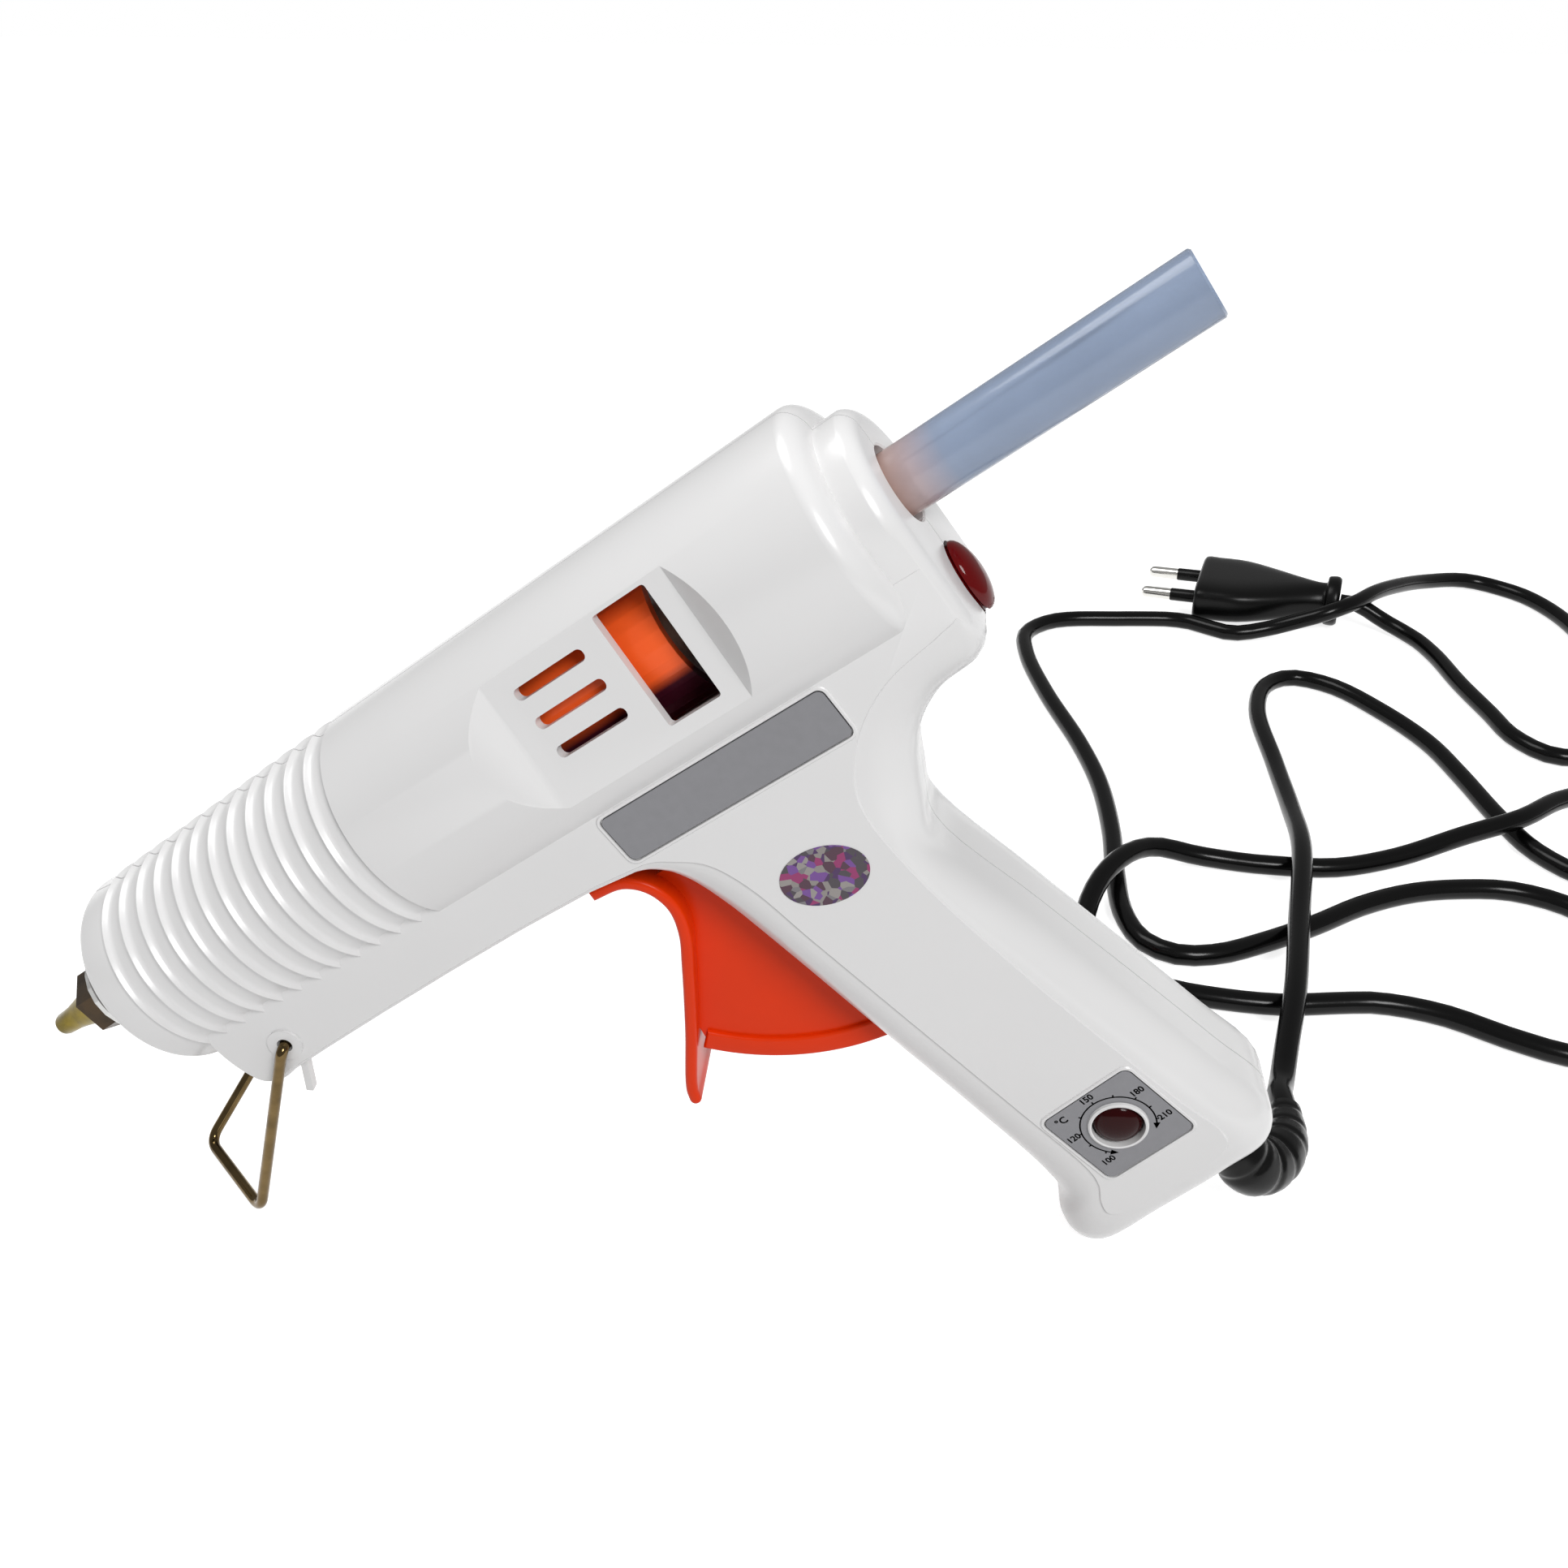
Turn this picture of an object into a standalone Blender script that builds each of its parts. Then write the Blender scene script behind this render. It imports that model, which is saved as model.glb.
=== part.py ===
"""Hot glue gun on its wire stand, with a glue stick, a mains cord and its two pin plug.

The body is drawn in the gun's own frame: X runs along the glue stick from the nozzle tip to
the rear, Z is square to it, and Y is the width. An empty then tips it nose down on the table.
"""

import math

import bmesh
import bpy
from mathutils import Matrix, Vector

for old in list(bpy.data.objects):
    bpy.data.objects.remove(old)

# Pose on the table
TILT = math.radians(36.4)

# Fits
GAP = 0.0003
OVERRUN = 0.006
WELD = 0.000002
FLAT_ANGLE = math.radians(0.1)
ROUND_SIDES = 36
WIDE_SIDES = 32
GUARD_SIDES = 28
DISC_SIDES = 24
INNER_SIDES = 20
SMALL_SIDES = 16
POST_SIDES = 12
SHARP_ANGLE = math.radians(32)
LEAST_MITRE_SHARE = 0.6

# Glue stick
STICK_RADIUS = 0.0056
STICK_PLAY = 0.0004
STICK_FRONT = 0.060
STICK_TAIL = 0.0421
STICK_NOSE_SHARE = 0.8

# Barrel of the housing
NOZZLE_REACH = 0.0315
BARREL_LENGTH = 0.1749
BARREL_RADIUS = 0.0209
BARREL_DROP = 0.0012
RIM_TAPER = 0.0009
RIM_ROUND = 0.0016
RIB_COUNT = 12
RIB_PITCH = 0.00505
RIB_START = 0.0075
RIB_FALL = 0.0015
RIB_DEPTH = 0.0007
COLLAR_RADIUS = 0.0156
COLLAR_LENGTH = 0.0064
SHOULDER_LENGTH = 0.0036
COLLAR_ROUND = 0.0036

# Body and handle of the housing
BODY_WIDTH = 0.0308
EDGE_ROUND = 0.0085
WALL = 0.0024
KEEL_DROP = 0.0275
EAR_LENGTH = 0.0205
HUMP_DEPTH = 0.0215
HUMP_DROP = 0.028
HANDLE_SHARE = 0.70
HANDLE_DEPTH = 0.040
HANDLE_LENGTH = 0.1215
HANDLE_SWEEP = 0.0245

# Window pads milled into the barrel's sides
PAD_DEPTH = 0.0169
PAD_WALL = 0.0022
PAD_TURN = math.radians(10)
PAD_FRONT_SHARE = 0.591
PAD_LENGTH = 0.0374
PAD_FRONT_RAMP = 0.0078
PAD_REAR_RAMP = 0.0049
WINDOW_LENGTH = 0.0104
WINDOW_HEIGHT = 0.0211
WINDOW_REAR = 0.0039
SLOT_LENGTH = 0.0144
SLOT_WIDTH = 0.0022
SLOT_PITCH = 0.0057
SLOT_COUNT = 3
SLOT_ROUND_SHARE = 0.98
SLOT_FRONT = 0.0041
SLOT_RISE = 0.0020

# Nozzle, melt chamber and sleeve
TIP_RADIUS = 0.0022
TIP_HOLE = 0.0009
TIP_EDGE_SHARE = 0.8
TIP_ROUND_SHARE = 0.3
TIP_BACK_SHARES = (0.35, 1.2)
CONE_LENGTH = 0.0120
CONE_RADIUS = 0.0044
HEX_RADIUS = 0.0070
HEX_LENGTH = 0.0080
HEX_EDGE_SHARE = 0.9
STUB_RADIUS = 0.0040
STUB_LENGTH = 0.0080
CHAMBER_RADIUS = 0.0095
CHAMBER_LENGTH = 0.054
NECK_RADIUS = 0.0074
NECK_LENGTH = 0.022
GUARD_RADIUS = 0.0128
GUARD_FLANGE = 0.0150
GUARD_THICK = 0.0018
GUARD_REACH = 0.0080
GUARD_NOSE_SHARE = 0.92
SLEEVE_WALL = 0.0014
SLEEVE_LENGTH = 0.0270
SLEEVE_LAP = 0.0070
CLIP_LENGTH = 0.0030
CLIP_THICK = 0.0010
HEATER_SIZE = (0.026, 0.014, 0.0045)
CLAMP_LENGTH = 0.010
CLAMP_THICK = 0.0008
SADDLE_THICK = 0.0020

# Feed carriage and its grip plate
CARRIAGE_RADIUS = 0.0128
CARRIAGE_LENGTH = 0.0285
CARRIAGE_FRONT_SHARE = 0.5975
CARRIAGE_PLAY = 0.0008
LUG_DROP = 0.0205
LUG_WIDTH = 0.009
LUG_LENGTH = 0.0066
GRIP_THICK = 0.0010
GRIP_RADIUS = 0.0108
RAIL_WIDTH = 0.0030
RAIL_OFFSET = 0.0045
RAIL_LEAD_SHARE = 0.45
RAIL_TAIL_SHARE = 0.1

# Trigger
PIVOT_SHARE = 0.670
PIVOT_DROP = 0.0396
PIN_RADIUS = 0.0020
PIN_LENGTH = 0.0250
HUB_RADIUS = 0.0050
HUB_WIDTH = 0.0180
PUSH_ARM = 0.0220
PUSH_TIP = 0.0028
PUSH_LEAD = 0.0010
ARM_ROOT_SHARE = 0.7
ARM_NECK_SHARE = 0.5
WEB_ROOT_SHARE = 0.8
WEB_WIDTH = 0.0090
TRIGGER_RIM_RADIUS = 0.0482
TRIGGER_RIM_THICK = 0.0043
TRIGGER_RIM_WIDTH = 0.0110
TRIGGER_RIM_FROM = math.radians(221.5)
TRIGGER_RIM_TO = math.radians(270)
BLADE_WIDTH = 0.0170
BLADE_THICK = 0.0024
BLADE_LENGTH = 0.0470
BLADE_LEAN = 0.0250
BLADE_BACK_SHARE = 1.82
TRIGGER_SLOT_PLAY = 0.0008
TRIGGER_SLOT_FRONT_SHARE = 0.475
TRIGGER_SLOT_TO = math.radians(286)
SPRING_WIRE = 0.0004
SPRING_COIL = 0.0058
SPRING_PITCH = 0.0013
SPRING_TURNS = 2
SPRING_LEG = 0.0170
SPRING_LEG_ANGLE = math.radians(262)
SPRING_TURN_POINTS = 10

# Fasteners
SCREW_RADIUS = 0.0015
SCREW_HEAD_RADIUS = 0.0027
SCREW_HEAD_DEPTH = 0.0018
SCREW_SINK = 0.0040
SCREW_BITE = 0.0080
BOSS_RADIUS = 0.0034

# Dial, plates, lens and electrics
LABEL_LENGTH = 0.0456
LABEL_HEIGHT = 0.0094
LABEL_ROUND = 0.0012
LABEL_FRONT_SHARE = 0.592
LABEL_DROP = 0.0211
PLATE_THICK = 0.0005
PLATE_SINK = 0.0006
DIAL_LENGTH = 0.0199
DIAL_HEIGHT = 0.0191
DIAL_ROUND = 0.0015
DIAL_TURN = math.radians(10.9)
DIAL_ACROSS_SHARE = 0.022
DIAL_DOWN_SHARE = 0.766
KNOB_RADIUS = 0.0046
KNOB_HOLE = 0.0052
KNOB_SINK = 0.0010
KNOB_THICK = 0.0026
KNOB_SLOT_WIDTH = 0.0014
KNOB_SLOT_DEPTH = 0.0008
KNOB_SLOT_SHARE = 0.7
SHAFT_RADIUS = 0.0025
SHAFT_LENGTH = 0.0030
POT_RADIUS = 0.0080
POT_LENGTH = 0.0060
BOARD_SIZE = (0.024, 0.0016, 0.030)
LENS_DROP = 0.0190
LENS_HEIGHT = 0.0131
LENS_WIDTH = 0.0100
LENS_RISE = 0.0022
LENS_STEM = 0.0034
LENS_DOME_SHARES = ((0.35, 0.93), (0.75, 0.7), (1.0, 0.3))
LAMP_RADIUS = 0.0028
LAMP_LENGTH = 0.0090

# Wire stand
WIRE_RADIUS = 0.0011
STAND_SHARE = 0.99
STAND_DROP = 0.0222
STAND_POST_SHARE = 2.4
STAND_SIDE_GAP = 0.0009
STAND_PIN = 0.0042
STAND_LEAD = 0.0120
STAND_FAR_LEAD = 0.0300
STAND_ROUND = 0.0030
STAND_FAR_RISE_SHARE = 0.62
STOP_WIDTH = 0.0014
STOP_DEPTH = 0.0020
STOP_LENGTH = 0.0088
STOP_OFFSET = 0.0120

# Strain relief: how far its end lies from the hole in the handle
BOOT_RADIUS = 0.0060
BOOT_NECK = 0.0036
BOOT_SEAT = 0.0045
BOOT_REACH = 0.0191
BOOT_SWING = 0.0220
BOOT_DROP = 0.0141
BOOT_PLACE_SHARES = (0.13, 0.975)
BOOT_WAY_SHARES = (0.18, 0, -0.98)
BOOT_SHARES = (
    (0.215, 0.0, 0.33, 0.90), (0.398, 0.02, 0.62, 1.0), (0.607, 0.16, 0.79, 0.95), (0.806, 0.39, 0.86, 0.84),
    (0.921, 0.64, 0.93, 0.70), (1.0, 1.0, 1.0, 0.57),
)
CLAMP_BLOCK = (0.009, 0.0105, 0.004)
CLAMP_PLACE_SHARES = (0.10, 0.83)

# Cord and plug
CORD_RADIUS = 0.0027
CORD_POINTS = 84
PLUG_LENGTH = 0.0484
PLUG_WIDTH = 0.0353
PLUG_HEIGHT = 0.0137
PLUG_COLLAR_LENGTH = 0.0050
PLUG_COLLAR_RADIUS = 0.0086
PLUG_NECK_RADIUS = 0.0062
PLUG_EDGE = 0.0008
PIN_SPACING = 0.0186
PLUG_PIN_LENGTH = 0.0190
PLUG_PIN_RADIUS = 0.0020
PLUG_PIN_SEAT = 0.0040
PLUG_PIN_NOSE_SHARES = (0.75, 0.25)

# Places that follow from the sizes
RIM = NOZZLE_REACH
REAR = NOZZLE_REACH + BARREL_LENGTH
HALF_WIDTH = BODY_WIDTH / 2
HANDLE_S = RIM + HANDLE_SHARE * BARREL_LENGTH
BORE_RADIUS = STICK_RADIUS + STICK_PLAY
PIVOT = Vector((RIM + PIVOT_SHARE * BARREL_LENGTH, -PIVOT_DROP))
CHAMBER_FRONT = CONE_LENGTH + HEX_LENGTH + GAP
CHAMBER_REAR = CHAMBER_FRONT + CHAMBER_LENGTH
NECK_REAR = CHAMBER_REAR + NECK_LENGTH
SLEEVE_FRONT = NECK_REAR - SLEEVE_LAP
CARRIAGE_FRONT = RIM + CARRIAGE_FRONT_SHARE * BARREL_LENGTH
CARRIAGE_REAR = CARRIAGE_FRONT + CARRIAGE_LENGTH
LUG_REAR = PIVOT.x - PUSH_LEAD - PUSH_TIP - GAP
FRONT_SADDLE = RIM + WALL + GUARD_THICK + 2 * GAP
REAR_SADDLE = CHAMBER_REAR - 3 * SADDLE_THICK
BORE = BARREL_RADIUS - WALL


def gun_material(name, colour, roughness, metallic=0.0):
    """a material with the piece's colour, roughness and metal"""
    material = bpy.data.materials.new(name)
    material.use_nodes = True
    shader = material.node_tree.nodes["Principled BSDF"]
    shader.inputs["Base Color"].default_value = (*colour, 1.0)
    shader.inputs["Roughness"].default_value = roughness
    shader.inputs["Metallic"].default_value = metallic
    return material


WHITE = gun_material("white plastic", (0.78, 0.78, 0.76), 0.35)
ORANGE = gun_material("orange plastic", (0.72, 0.06, 0.01), 0.35)
BRASS = gun_material("brass", (0.45, 0.33, 0.10), 0.35, 1.0)
STEEL = gun_material("steel", (0.45, 0.45, 0.46), 0.35, 1.0)
WIRE = gun_material("bronzed wire", (0.34, 0.26, 0.16), 0.28, 1.0)
ALUMINIUM = gun_material("cast aluminium", (0.60, 0.60, 0.60), 0.5, 1.0)
CERAMIC = gun_material("heater ceramic", (0.75, 0.72, 0.65), 0.7)
BLACK = gun_material("black plastic", (0.02, 0.02, 0.02), 0.35)
RUBBER = gun_material("black rubber", (0.02, 0.02, 0.02), 0.45)
SILICONE = gun_material("silicone", (0.72, 0.68, 0.60), 0.55)
GREY = gun_material("grey plate", (0.22, 0.22, 0.23), 0.5)
RED = gun_material("red lens", (0.30, 0.01, 0.01), 0.12)
GLUE = gun_material("glue", (0.30, 0.36, 0.48), 0.2)
BOARD = gun_material("circuit board", (0.05, 0.22, 0.10), 0.5)


def empty(name, parent=None, at=(0, 0, 0), turn=(0, 0, 0)):
    """an empty that carries pieces"""
    holder = bpy.data.objects.new(name, None)
    bpy.context.collection.objects.link(holder)
    holder.parent = parent
    holder.location = at
    holder.rotation_euler = turn
    return holder


TABLE = empty("table_frame")
GUN = empty("gun_frame", TABLE, turn=(0, -TILT, 0))


def add(name, mesh_data, material, parent=GUN, at=(0, 0, 0)):
    """an object for one piece, its mesh given in the parent's frame and its origin at the given place"""
    mesh_data.transform(Matrix.Translation(-Vector(at)))
    item = bpy.data.objects.new(name, mesh_data)
    bpy.context.collection.objects.link(item)
    item.parent = parent
    item.location = at
    mesh_data.materials.append(material)
    mesh_data.shade_smooth()
    mesh_data.set_sharp_from_angle(angle=SHARP_ANGLE)
    return item


def faces_of(bm, name):
    """the mesh of a closed bmesh, its faces pointing out"""
    bmesh.ops.recalc_face_normals(bm, faces=bm.faces)
    mesh_data = bpy.data.meshes.new(name)
    bm.to_mesh(mesh_data)
    bm.free()
    return mesh_data


def loft(name, rings):
    """a closed skin through rings of equal length, capped at both ends"""
    bm = bmesh.new()
    rows = [[bm.verts.new(point) for point in ring] for ring in rings]
    for low, high in zip(rows, rows[1:]):
        count = len(low)
        for i in range(count):
            j = (i + 1) % count
            bm.faces.new((low[i], low[j], high[j], high[i]))
    caps = [bm.faces.new(rows[0]), bm.faces.new(rows[-1])]
    bm.normal_update()
    bmesh.ops.triangulate(bm, faces=caps)
    return faces_of(bm, name)


def turned(name, profile, sides=SMALL_SIDES, drop=0.0, phase=0.0):
    """a closed profile of (along, radius) points turned about an axis along X, lowered by drop"""
    bm = bmesh.new()
    rows = []
    for along, radius in profile:
        if radius == 0:
            rows.append([bm.verts.new((along, 0, -drop))])
            continue
        row = []
        for i in range(sides):
            angle = phase + math.tau * i / sides
            row.append(bm.verts.new((along, radius * math.sin(angle), radius * math.cos(angle) - drop)))
        rows.append(row)
    solid = profile[0][1] == 0
    pairs = list(zip(rows, rows[1:]))
    if not solid:
        pairs.append((rows[-1], rows[0]))
    for low, high in pairs:
        for i in range(sides):
            j = (i + 1) % sides
            ring = [low[i % len(low)], low[j % len(low)], high[j % len(high)], high[i % len(high)]]
            bm.faces.new(list(dict.fromkeys(ring)))
    return faces_of(bm, name)


def slab(name, outline, low_y, high_y):
    """an outline of (along, up) points carried across from low_y to high_y"""
    return loft(name, [[(s, y, u) for s, u in outline] for y in (low_y, high_y)])


def cross_rod(name, place, radius, low_y, high_y, sides=SMALL_SIDES):
    """a round rod along Y at a place (along, up)"""
    outline = []
    for i in range(sides):
        angle = math.tau * i / sides
        outline.append((place[0] + radius * math.cos(angle), place[1] + radius * math.sin(angle)))
    return slab(name, outline, low_y, high_y)


def block(name, low, high):
    """a box between two corners"""
    outline = [(low[0], low[2]), (high[0], low[2]), (high[0], high[2]), (low[0], high[2])]
    return slab(name, outline, low[1], high[1])


def rounded_box(width, height, corner, steps=4):
    """the outline of a rectangle with round corners, about its centre"""
    points = []
    for quarter in range(4):
        side = (1, -1, -1, 1)[quarter] * (width / 2 - corner)
        rise = (1, 1, -1, -1)[quarter] * (height / 2 - corner)
        for i in range(steps + 1):
            angle = math.pi / 2 * (quarter + i / steps)
            points.append((side + corner * math.cos(angle), rise + corner * math.sin(angle)))
    return points


def placed(outline, place, turn=0.0):
    """an outline turned and moved to a place"""
    cos = math.cos(turn)
    sin = math.sin(turn)
    return [(place[0] + s * cos - u * sin, place[1] + s * sin + u * cos) for s, u in outline]


def smooth(points, steps):
    """a curve through open points, steps to a span, that stays close to them where they are uneven"""
    path = [Vector(p) for p in points]
    path = [2 * path[0] - path[1]] + path + [2 * path[-1] - path[-2]]
    curve = []
    for a, b, c, d in zip(path, path[1:], path[2:], path[3:]):
        first = math.sqrt((b - a).length)
        second = first + math.sqrt((c - b).length)
        last = second + math.sqrt((d - c).length)
        for i in range(steps):
            t = first + (second - first) * i / steps
            ab = a.lerp(b, t / first)
            bc = b.lerp(c, (t - first) / (second - first))
            cd = c.lerp(d, (t - second) / (last - second))
            abc = ab.lerp(bc, t / second)
            bcd = bc.lerp(cd, (t - first) / (last - first))
            curve.append(abc.lerp(bcd, (t - first) / (second - first)))
    curve.append(path[-2])
    return curve


def inset(points, depth):
    """a closed outline moved inwards by depth"""
    area = sum(a.x * b.y - b.x * a.y for a, b in zip(points, points[1:] + points[:1]))
    side = 1 if area > 0 else -1
    moved = []
    for before, here, after in zip(points[-1:] + points[:-1], points, points[1:] + points[:1]):
        first = (here - before).normalized()
        second = (after - here).normalized()
        turn = (first + second).normalized()
        normal = Vector((-turn.y, turn.x)) * side
        mitre = math.sqrt((1 + first.dot(second)) / 2)
        moved.append(here + normal * depth / max(LEAST_MITRE_SHARE, mitre))
    return moved


def merged(name, kind, base, others):
    """one mesh: the base joined with the other meshes, or cut by them"""
    body = bpy.data.objects.new(name, base)
    bpy.context.collection.objects.link(body)
    tools = []
    for i, other in enumerate(others):
        tool = bpy.data.objects.new(f"{name}_tool_{i}", other)
        bpy.context.collection.objects.link(tool)
        change = body.modifiers.new("change", "BOOLEAN")
        change.operation = kind
        change.solver = "EXACT"
        change.object = tool
        tools.append(tool)
    graph = bpy.context.evaluated_depsgraph_get()
    made = bpy.data.meshes.new_from_object(body.evaluated_get(graph))
    for item in tools + [body]:
        bpy.data.objects.remove(item)
    bm = bmesh.new()
    bm.from_mesh(made)
    bmesh.ops.remove_doubles(bm, verts=bm.verts, dist=WELD)
    bmesh.ops.dissolve_degenerate(bm, edges=bm.edges, dist=WELD)
    bmesh.ops.dissolve_limit(bm, angle_limit=FLAT_ANGLE, verts=[], edges=bm.edges)
    slits = [edge for edge in bm.edges if edge.is_boundary]
    if slits:
        bmesh.ops.holes_fill(bm, edges=slits, sides=4)
    bm.to_mesh(made)
    bm.free()
    return made


def joined(name, base, *others):
    """the union of meshes"""
    return merged(name, "UNION", base, others)


def cut(name, base, *others):
    """a mesh less the other meshes"""
    return merged(name, "DIFFERENCE", base, others)


def tube(name, points, radius, material, parent, shares=None, fineness=2):
    """a round rod or cord along a path, with filled ends"""
    curve = bpy.data.curves.new(name, "CURVE")
    curve.dimensions = "3D"
    curve.bevel_depth = radius
    curve.bevel_resolution = fineness
    curve.use_fill_caps = True
    line = curve.splines.new("POLY")
    line.points.add(len(points) - 1)
    for i, point in enumerate(points):
        line.points[i].co = (*point, 1)
        line.points[i].radius = shares[i] if shares else 1
    curve.materials.append(material)
    item = bpy.data.objects.new(name, curve)
    bpy.context.collection.objects.link(item)
    item.parent = parent
    return item


# The body's outline, once along the edge of its flat sides and once along its widest reach
def on_ear(back, drop):
    return RIM + back * EAR_LENGTH, -drop * KEEL_DROP


def on_handle(across, down):
    along = HANDLE_S + across * HANDLE_DEPTH + down * HANDLE_SWEEP
    return along, -KEEL_DROP - down * HANDLE_LENGTH


def on_hump(forward, drop):
    return REAR - forward * HUMP_DEPTH, -drop * HUMP_DROP


FLAT_EAR_SHARES = ((0.44, 0.29), (0.346, 0.58), (0.38, 0.847), (0.463, 0.978), (0.615, 1.022), (0.80, 1.0))
FLAT_HANDLE_SHARES = (
    (-0.46, 0.0), (-0.341, 0.022), (-0.258, 0.05), (-0.219, 0.109), (-0.231, 0.235), (-0.248, 0.433),
    (-0.266, 0.658), (-0.284, 0.827), (-0.317, 0.864), (-0.384, 0.897), (-0.41, 0.926), (-0.335, 0.938),
    (-0.09, 0.926), (0.196, 0.908), (0.309, 0.888), (0.343, 0.856), (0.326, 0.778), (0.319, 0.642),
    (0.32, 0.425), (0.354, 0.218),
)
FLAT_HUMP_SHARES = (
    (1.526, 1.357), (1.344, 1.089), (1.088, 0.9), (0.74, 0.761), (0.251, 0.686), (0.065, 0.643),
    (0.009, 0.536), (0.0, 0.286),
)
EDGE_EAR_SHARES = (
    (0.415, 0.29), (0.327, 0.58), (0.361, 0.873), (0.463, 1.025), (0.639, 1.073), (0.854, 1.06),
)
EDGE_HANDLE_SHARES = (
    (-0.607, 0.015), (-0.507, 0.035), (-0.468, 0.07), (-0.448, 0.132), (-0.451, 0.235), (-0.475, 0.433),
    (-0.501, 0.658), (-0.534, 0.827), (-0.579, 0.893), (-0.68, 0.934), (-0.727, 0.984), (-0.682, 1.016),
    (-0.31, 1.0), (0.157, 0.972), (0.406, 0.954), (0.51, 0.909), (0.506, 0.794), (0.492, 0.642),
    (0.465, 0.425), (0.449, 0.218),
)
EDGE_HUMP_SHARES = (
    (1.214, 1.643), (1.042, 1.393), (0.833, 1.189), (0.53, 1.057), (0.181, 1.014), (0.037, 0.914),
    (0.0, 0.643), (0.0, 0.286),
)


def outline_of(ear, handle, hump, steps):
    """the body's outline through its ear, handle and hump"""
    points = [on_ear(*share) for share in ear]
    points += [on_handle(*share) for share in handle]
    points += [on_hump(*share) for share in hump]
    return smooth(points, steps)


def body_solid(name, depth, levels, steps):
    """the body's block with rounded edges, smaller by depth all round"""
    flat = outline_of(FLAT_EAR_SHARES, FLAT_HANDLE_SHARES, FLAT_HUMP_SHARES, steps)
    edge = outline_of(EDGE_EAR_SHARES, EDGE_HANDLE_SHARES, EDGE_HUMP_SHARES, steps)
    if depth:
        flat = inset(flat, depth)
        edge = inset(edge, depth)
    rings = []
    for side in (-1, 1):
        order = range(levels + 1) if side < 0 else range(levels, -1, -1)
        for i in order:
            angle = math.pi / 2 * i / levels
            y = side * (HALF_WIDTH - EDGE_ROUND + (EDGE_ROUND - depth) * math.cos(angle))
            blend = math.sin(angle)
            rings.append([(f.x + (e.x - f.x) * blend, y, f.y + (e.y - f.y) * blend)
                          for f, e in zip(flat, edge)])
    return loft(name, rings)


# The barrel's outer profile: a rounded rim, a run of ribs, a plain stretch and the rear collar
def barrel_profile():
    front_radius = BARREL_RADIUS - RIM_TAPER
    ribs_end = RIB_START + RIB_COUNT * RIB_PITCH
    points = [(RIM, 0), (RIM, front_radius - RIM_ROUND)]
    for i in (1, 2):
        angle = math.pi / 2 * i / 2
        lift = RIM_ROUND * math.sin(angle)
        points.append((RIM + RIM_ROUND - RIM_ROUND * math.cos(angle), front_radius - RIM_ROUND + lift))
    for k in range(RIB_COUNT):
        crest = RIB_START + k * RIB_PITCH
        radius = front_radius + RIM_TAPER * crest / ribs_end
        points.append((RIM + crest, radius))
        points.append((RIM + crest + RIB_FALL, radius - RIB_DEPTH))
    last = points[-1][0]
    points.append((last + GAP, BARREL_RADIUS))
    shoulder = REAR - COLLAR_LENGTH - SHOULDER_LENGTH
    points.append((shoulder, BARREL_RADIUS))
    fall = BARREL_RADIUS - COLLAR_RADIUS
    for i in (1, 2, 3):
        angle = math.pi / 2 * i / 3
        lift = fall * (1 - math.cos(angle))
        points.append((shoulder + SHOULDER_LENGTH * math.sin(angle), BARREL_RADIUS - lift))
    rear = REAR - GAP / 2
    points.append((rear - COLLAR_ROUND, COLLAR_RADIUS))
    for i in (1, 2, 3):
        angle = math.pi / 2 * i / 3
        drop = COLLAR_ROUND * (1 - math.cos(angle))
        points.append((rear - COLLAR_ROUND + COLLAR_ROUND * math.sin(angle), COLLAR_RADIUS - drop))
    points.append((rear, 0))
    return points


def bore_profile():
    shoulder = REAR - COLLAR_LENGTH - SHOULDER_LENGTH - WALL
    inner = COLLAR_RADIUS - WALL
    rear = REAR - WALL - GAP
    return [(RIM + WALL, 0), (RIM + WALL, BORE), (shoulder, BORE), (shoulder + SHOULDER_LENGTH, inner),
            (rear, inner), (rear, 0)]


def pad_shape(name, side, depth, front, rear):
    """a prism outside a plane at a depth from the barrel's axis, tipped by the pad's turn"""
    reach = BARREL_RADIUS + OVERRUN
    slope = (reach - depth) / (BARREL_RADIUS - depth)
    outline = [(front, depth), (rear, depth), (rear + PAD_REAR_RAMP * slope, reach),
               (front - PAD_FRONT_RAMP * slope, reach)]
    turn = Matrix.Rotation(side * PAD_TURN, 3, "X")
    rings = []
    for height in (-BARREL_RADIUS, BARREL_RADIUS):
        ring = []
        for s, d in outline:
            point = turn @ Vector((s, side * d, height))
            ring.append((point.x, point.y, point.z - BARREL_DROP))
        rings.append(ring)
    return loft(name, rings)


PAD_FRONT = RIM + PAD_FRONT_SHARE * BARREL_LENGTH
PAD_REAR = PAD_FRONT + PAD_LENGTH


def pad_hole(name, side, outline):
    """a hole through the pad, its outline given along and up the pad"""
    turn = Matrix.Rotation(side * PAD_TURN, 3, "X")
    rings = []
    for d in (PAD_DEPTH - PAD_WALL - OVERRUN / 3, PAD_DEPTH + OVERRUN):
        ring = []
        for s, v in outline:
            point = turn @ Vector((s, side * d, v))
            ring.append((point.x, point.y, point.z - BARREL_DROP))
        rings.append(ring)
    return loft(name, rings)


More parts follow.
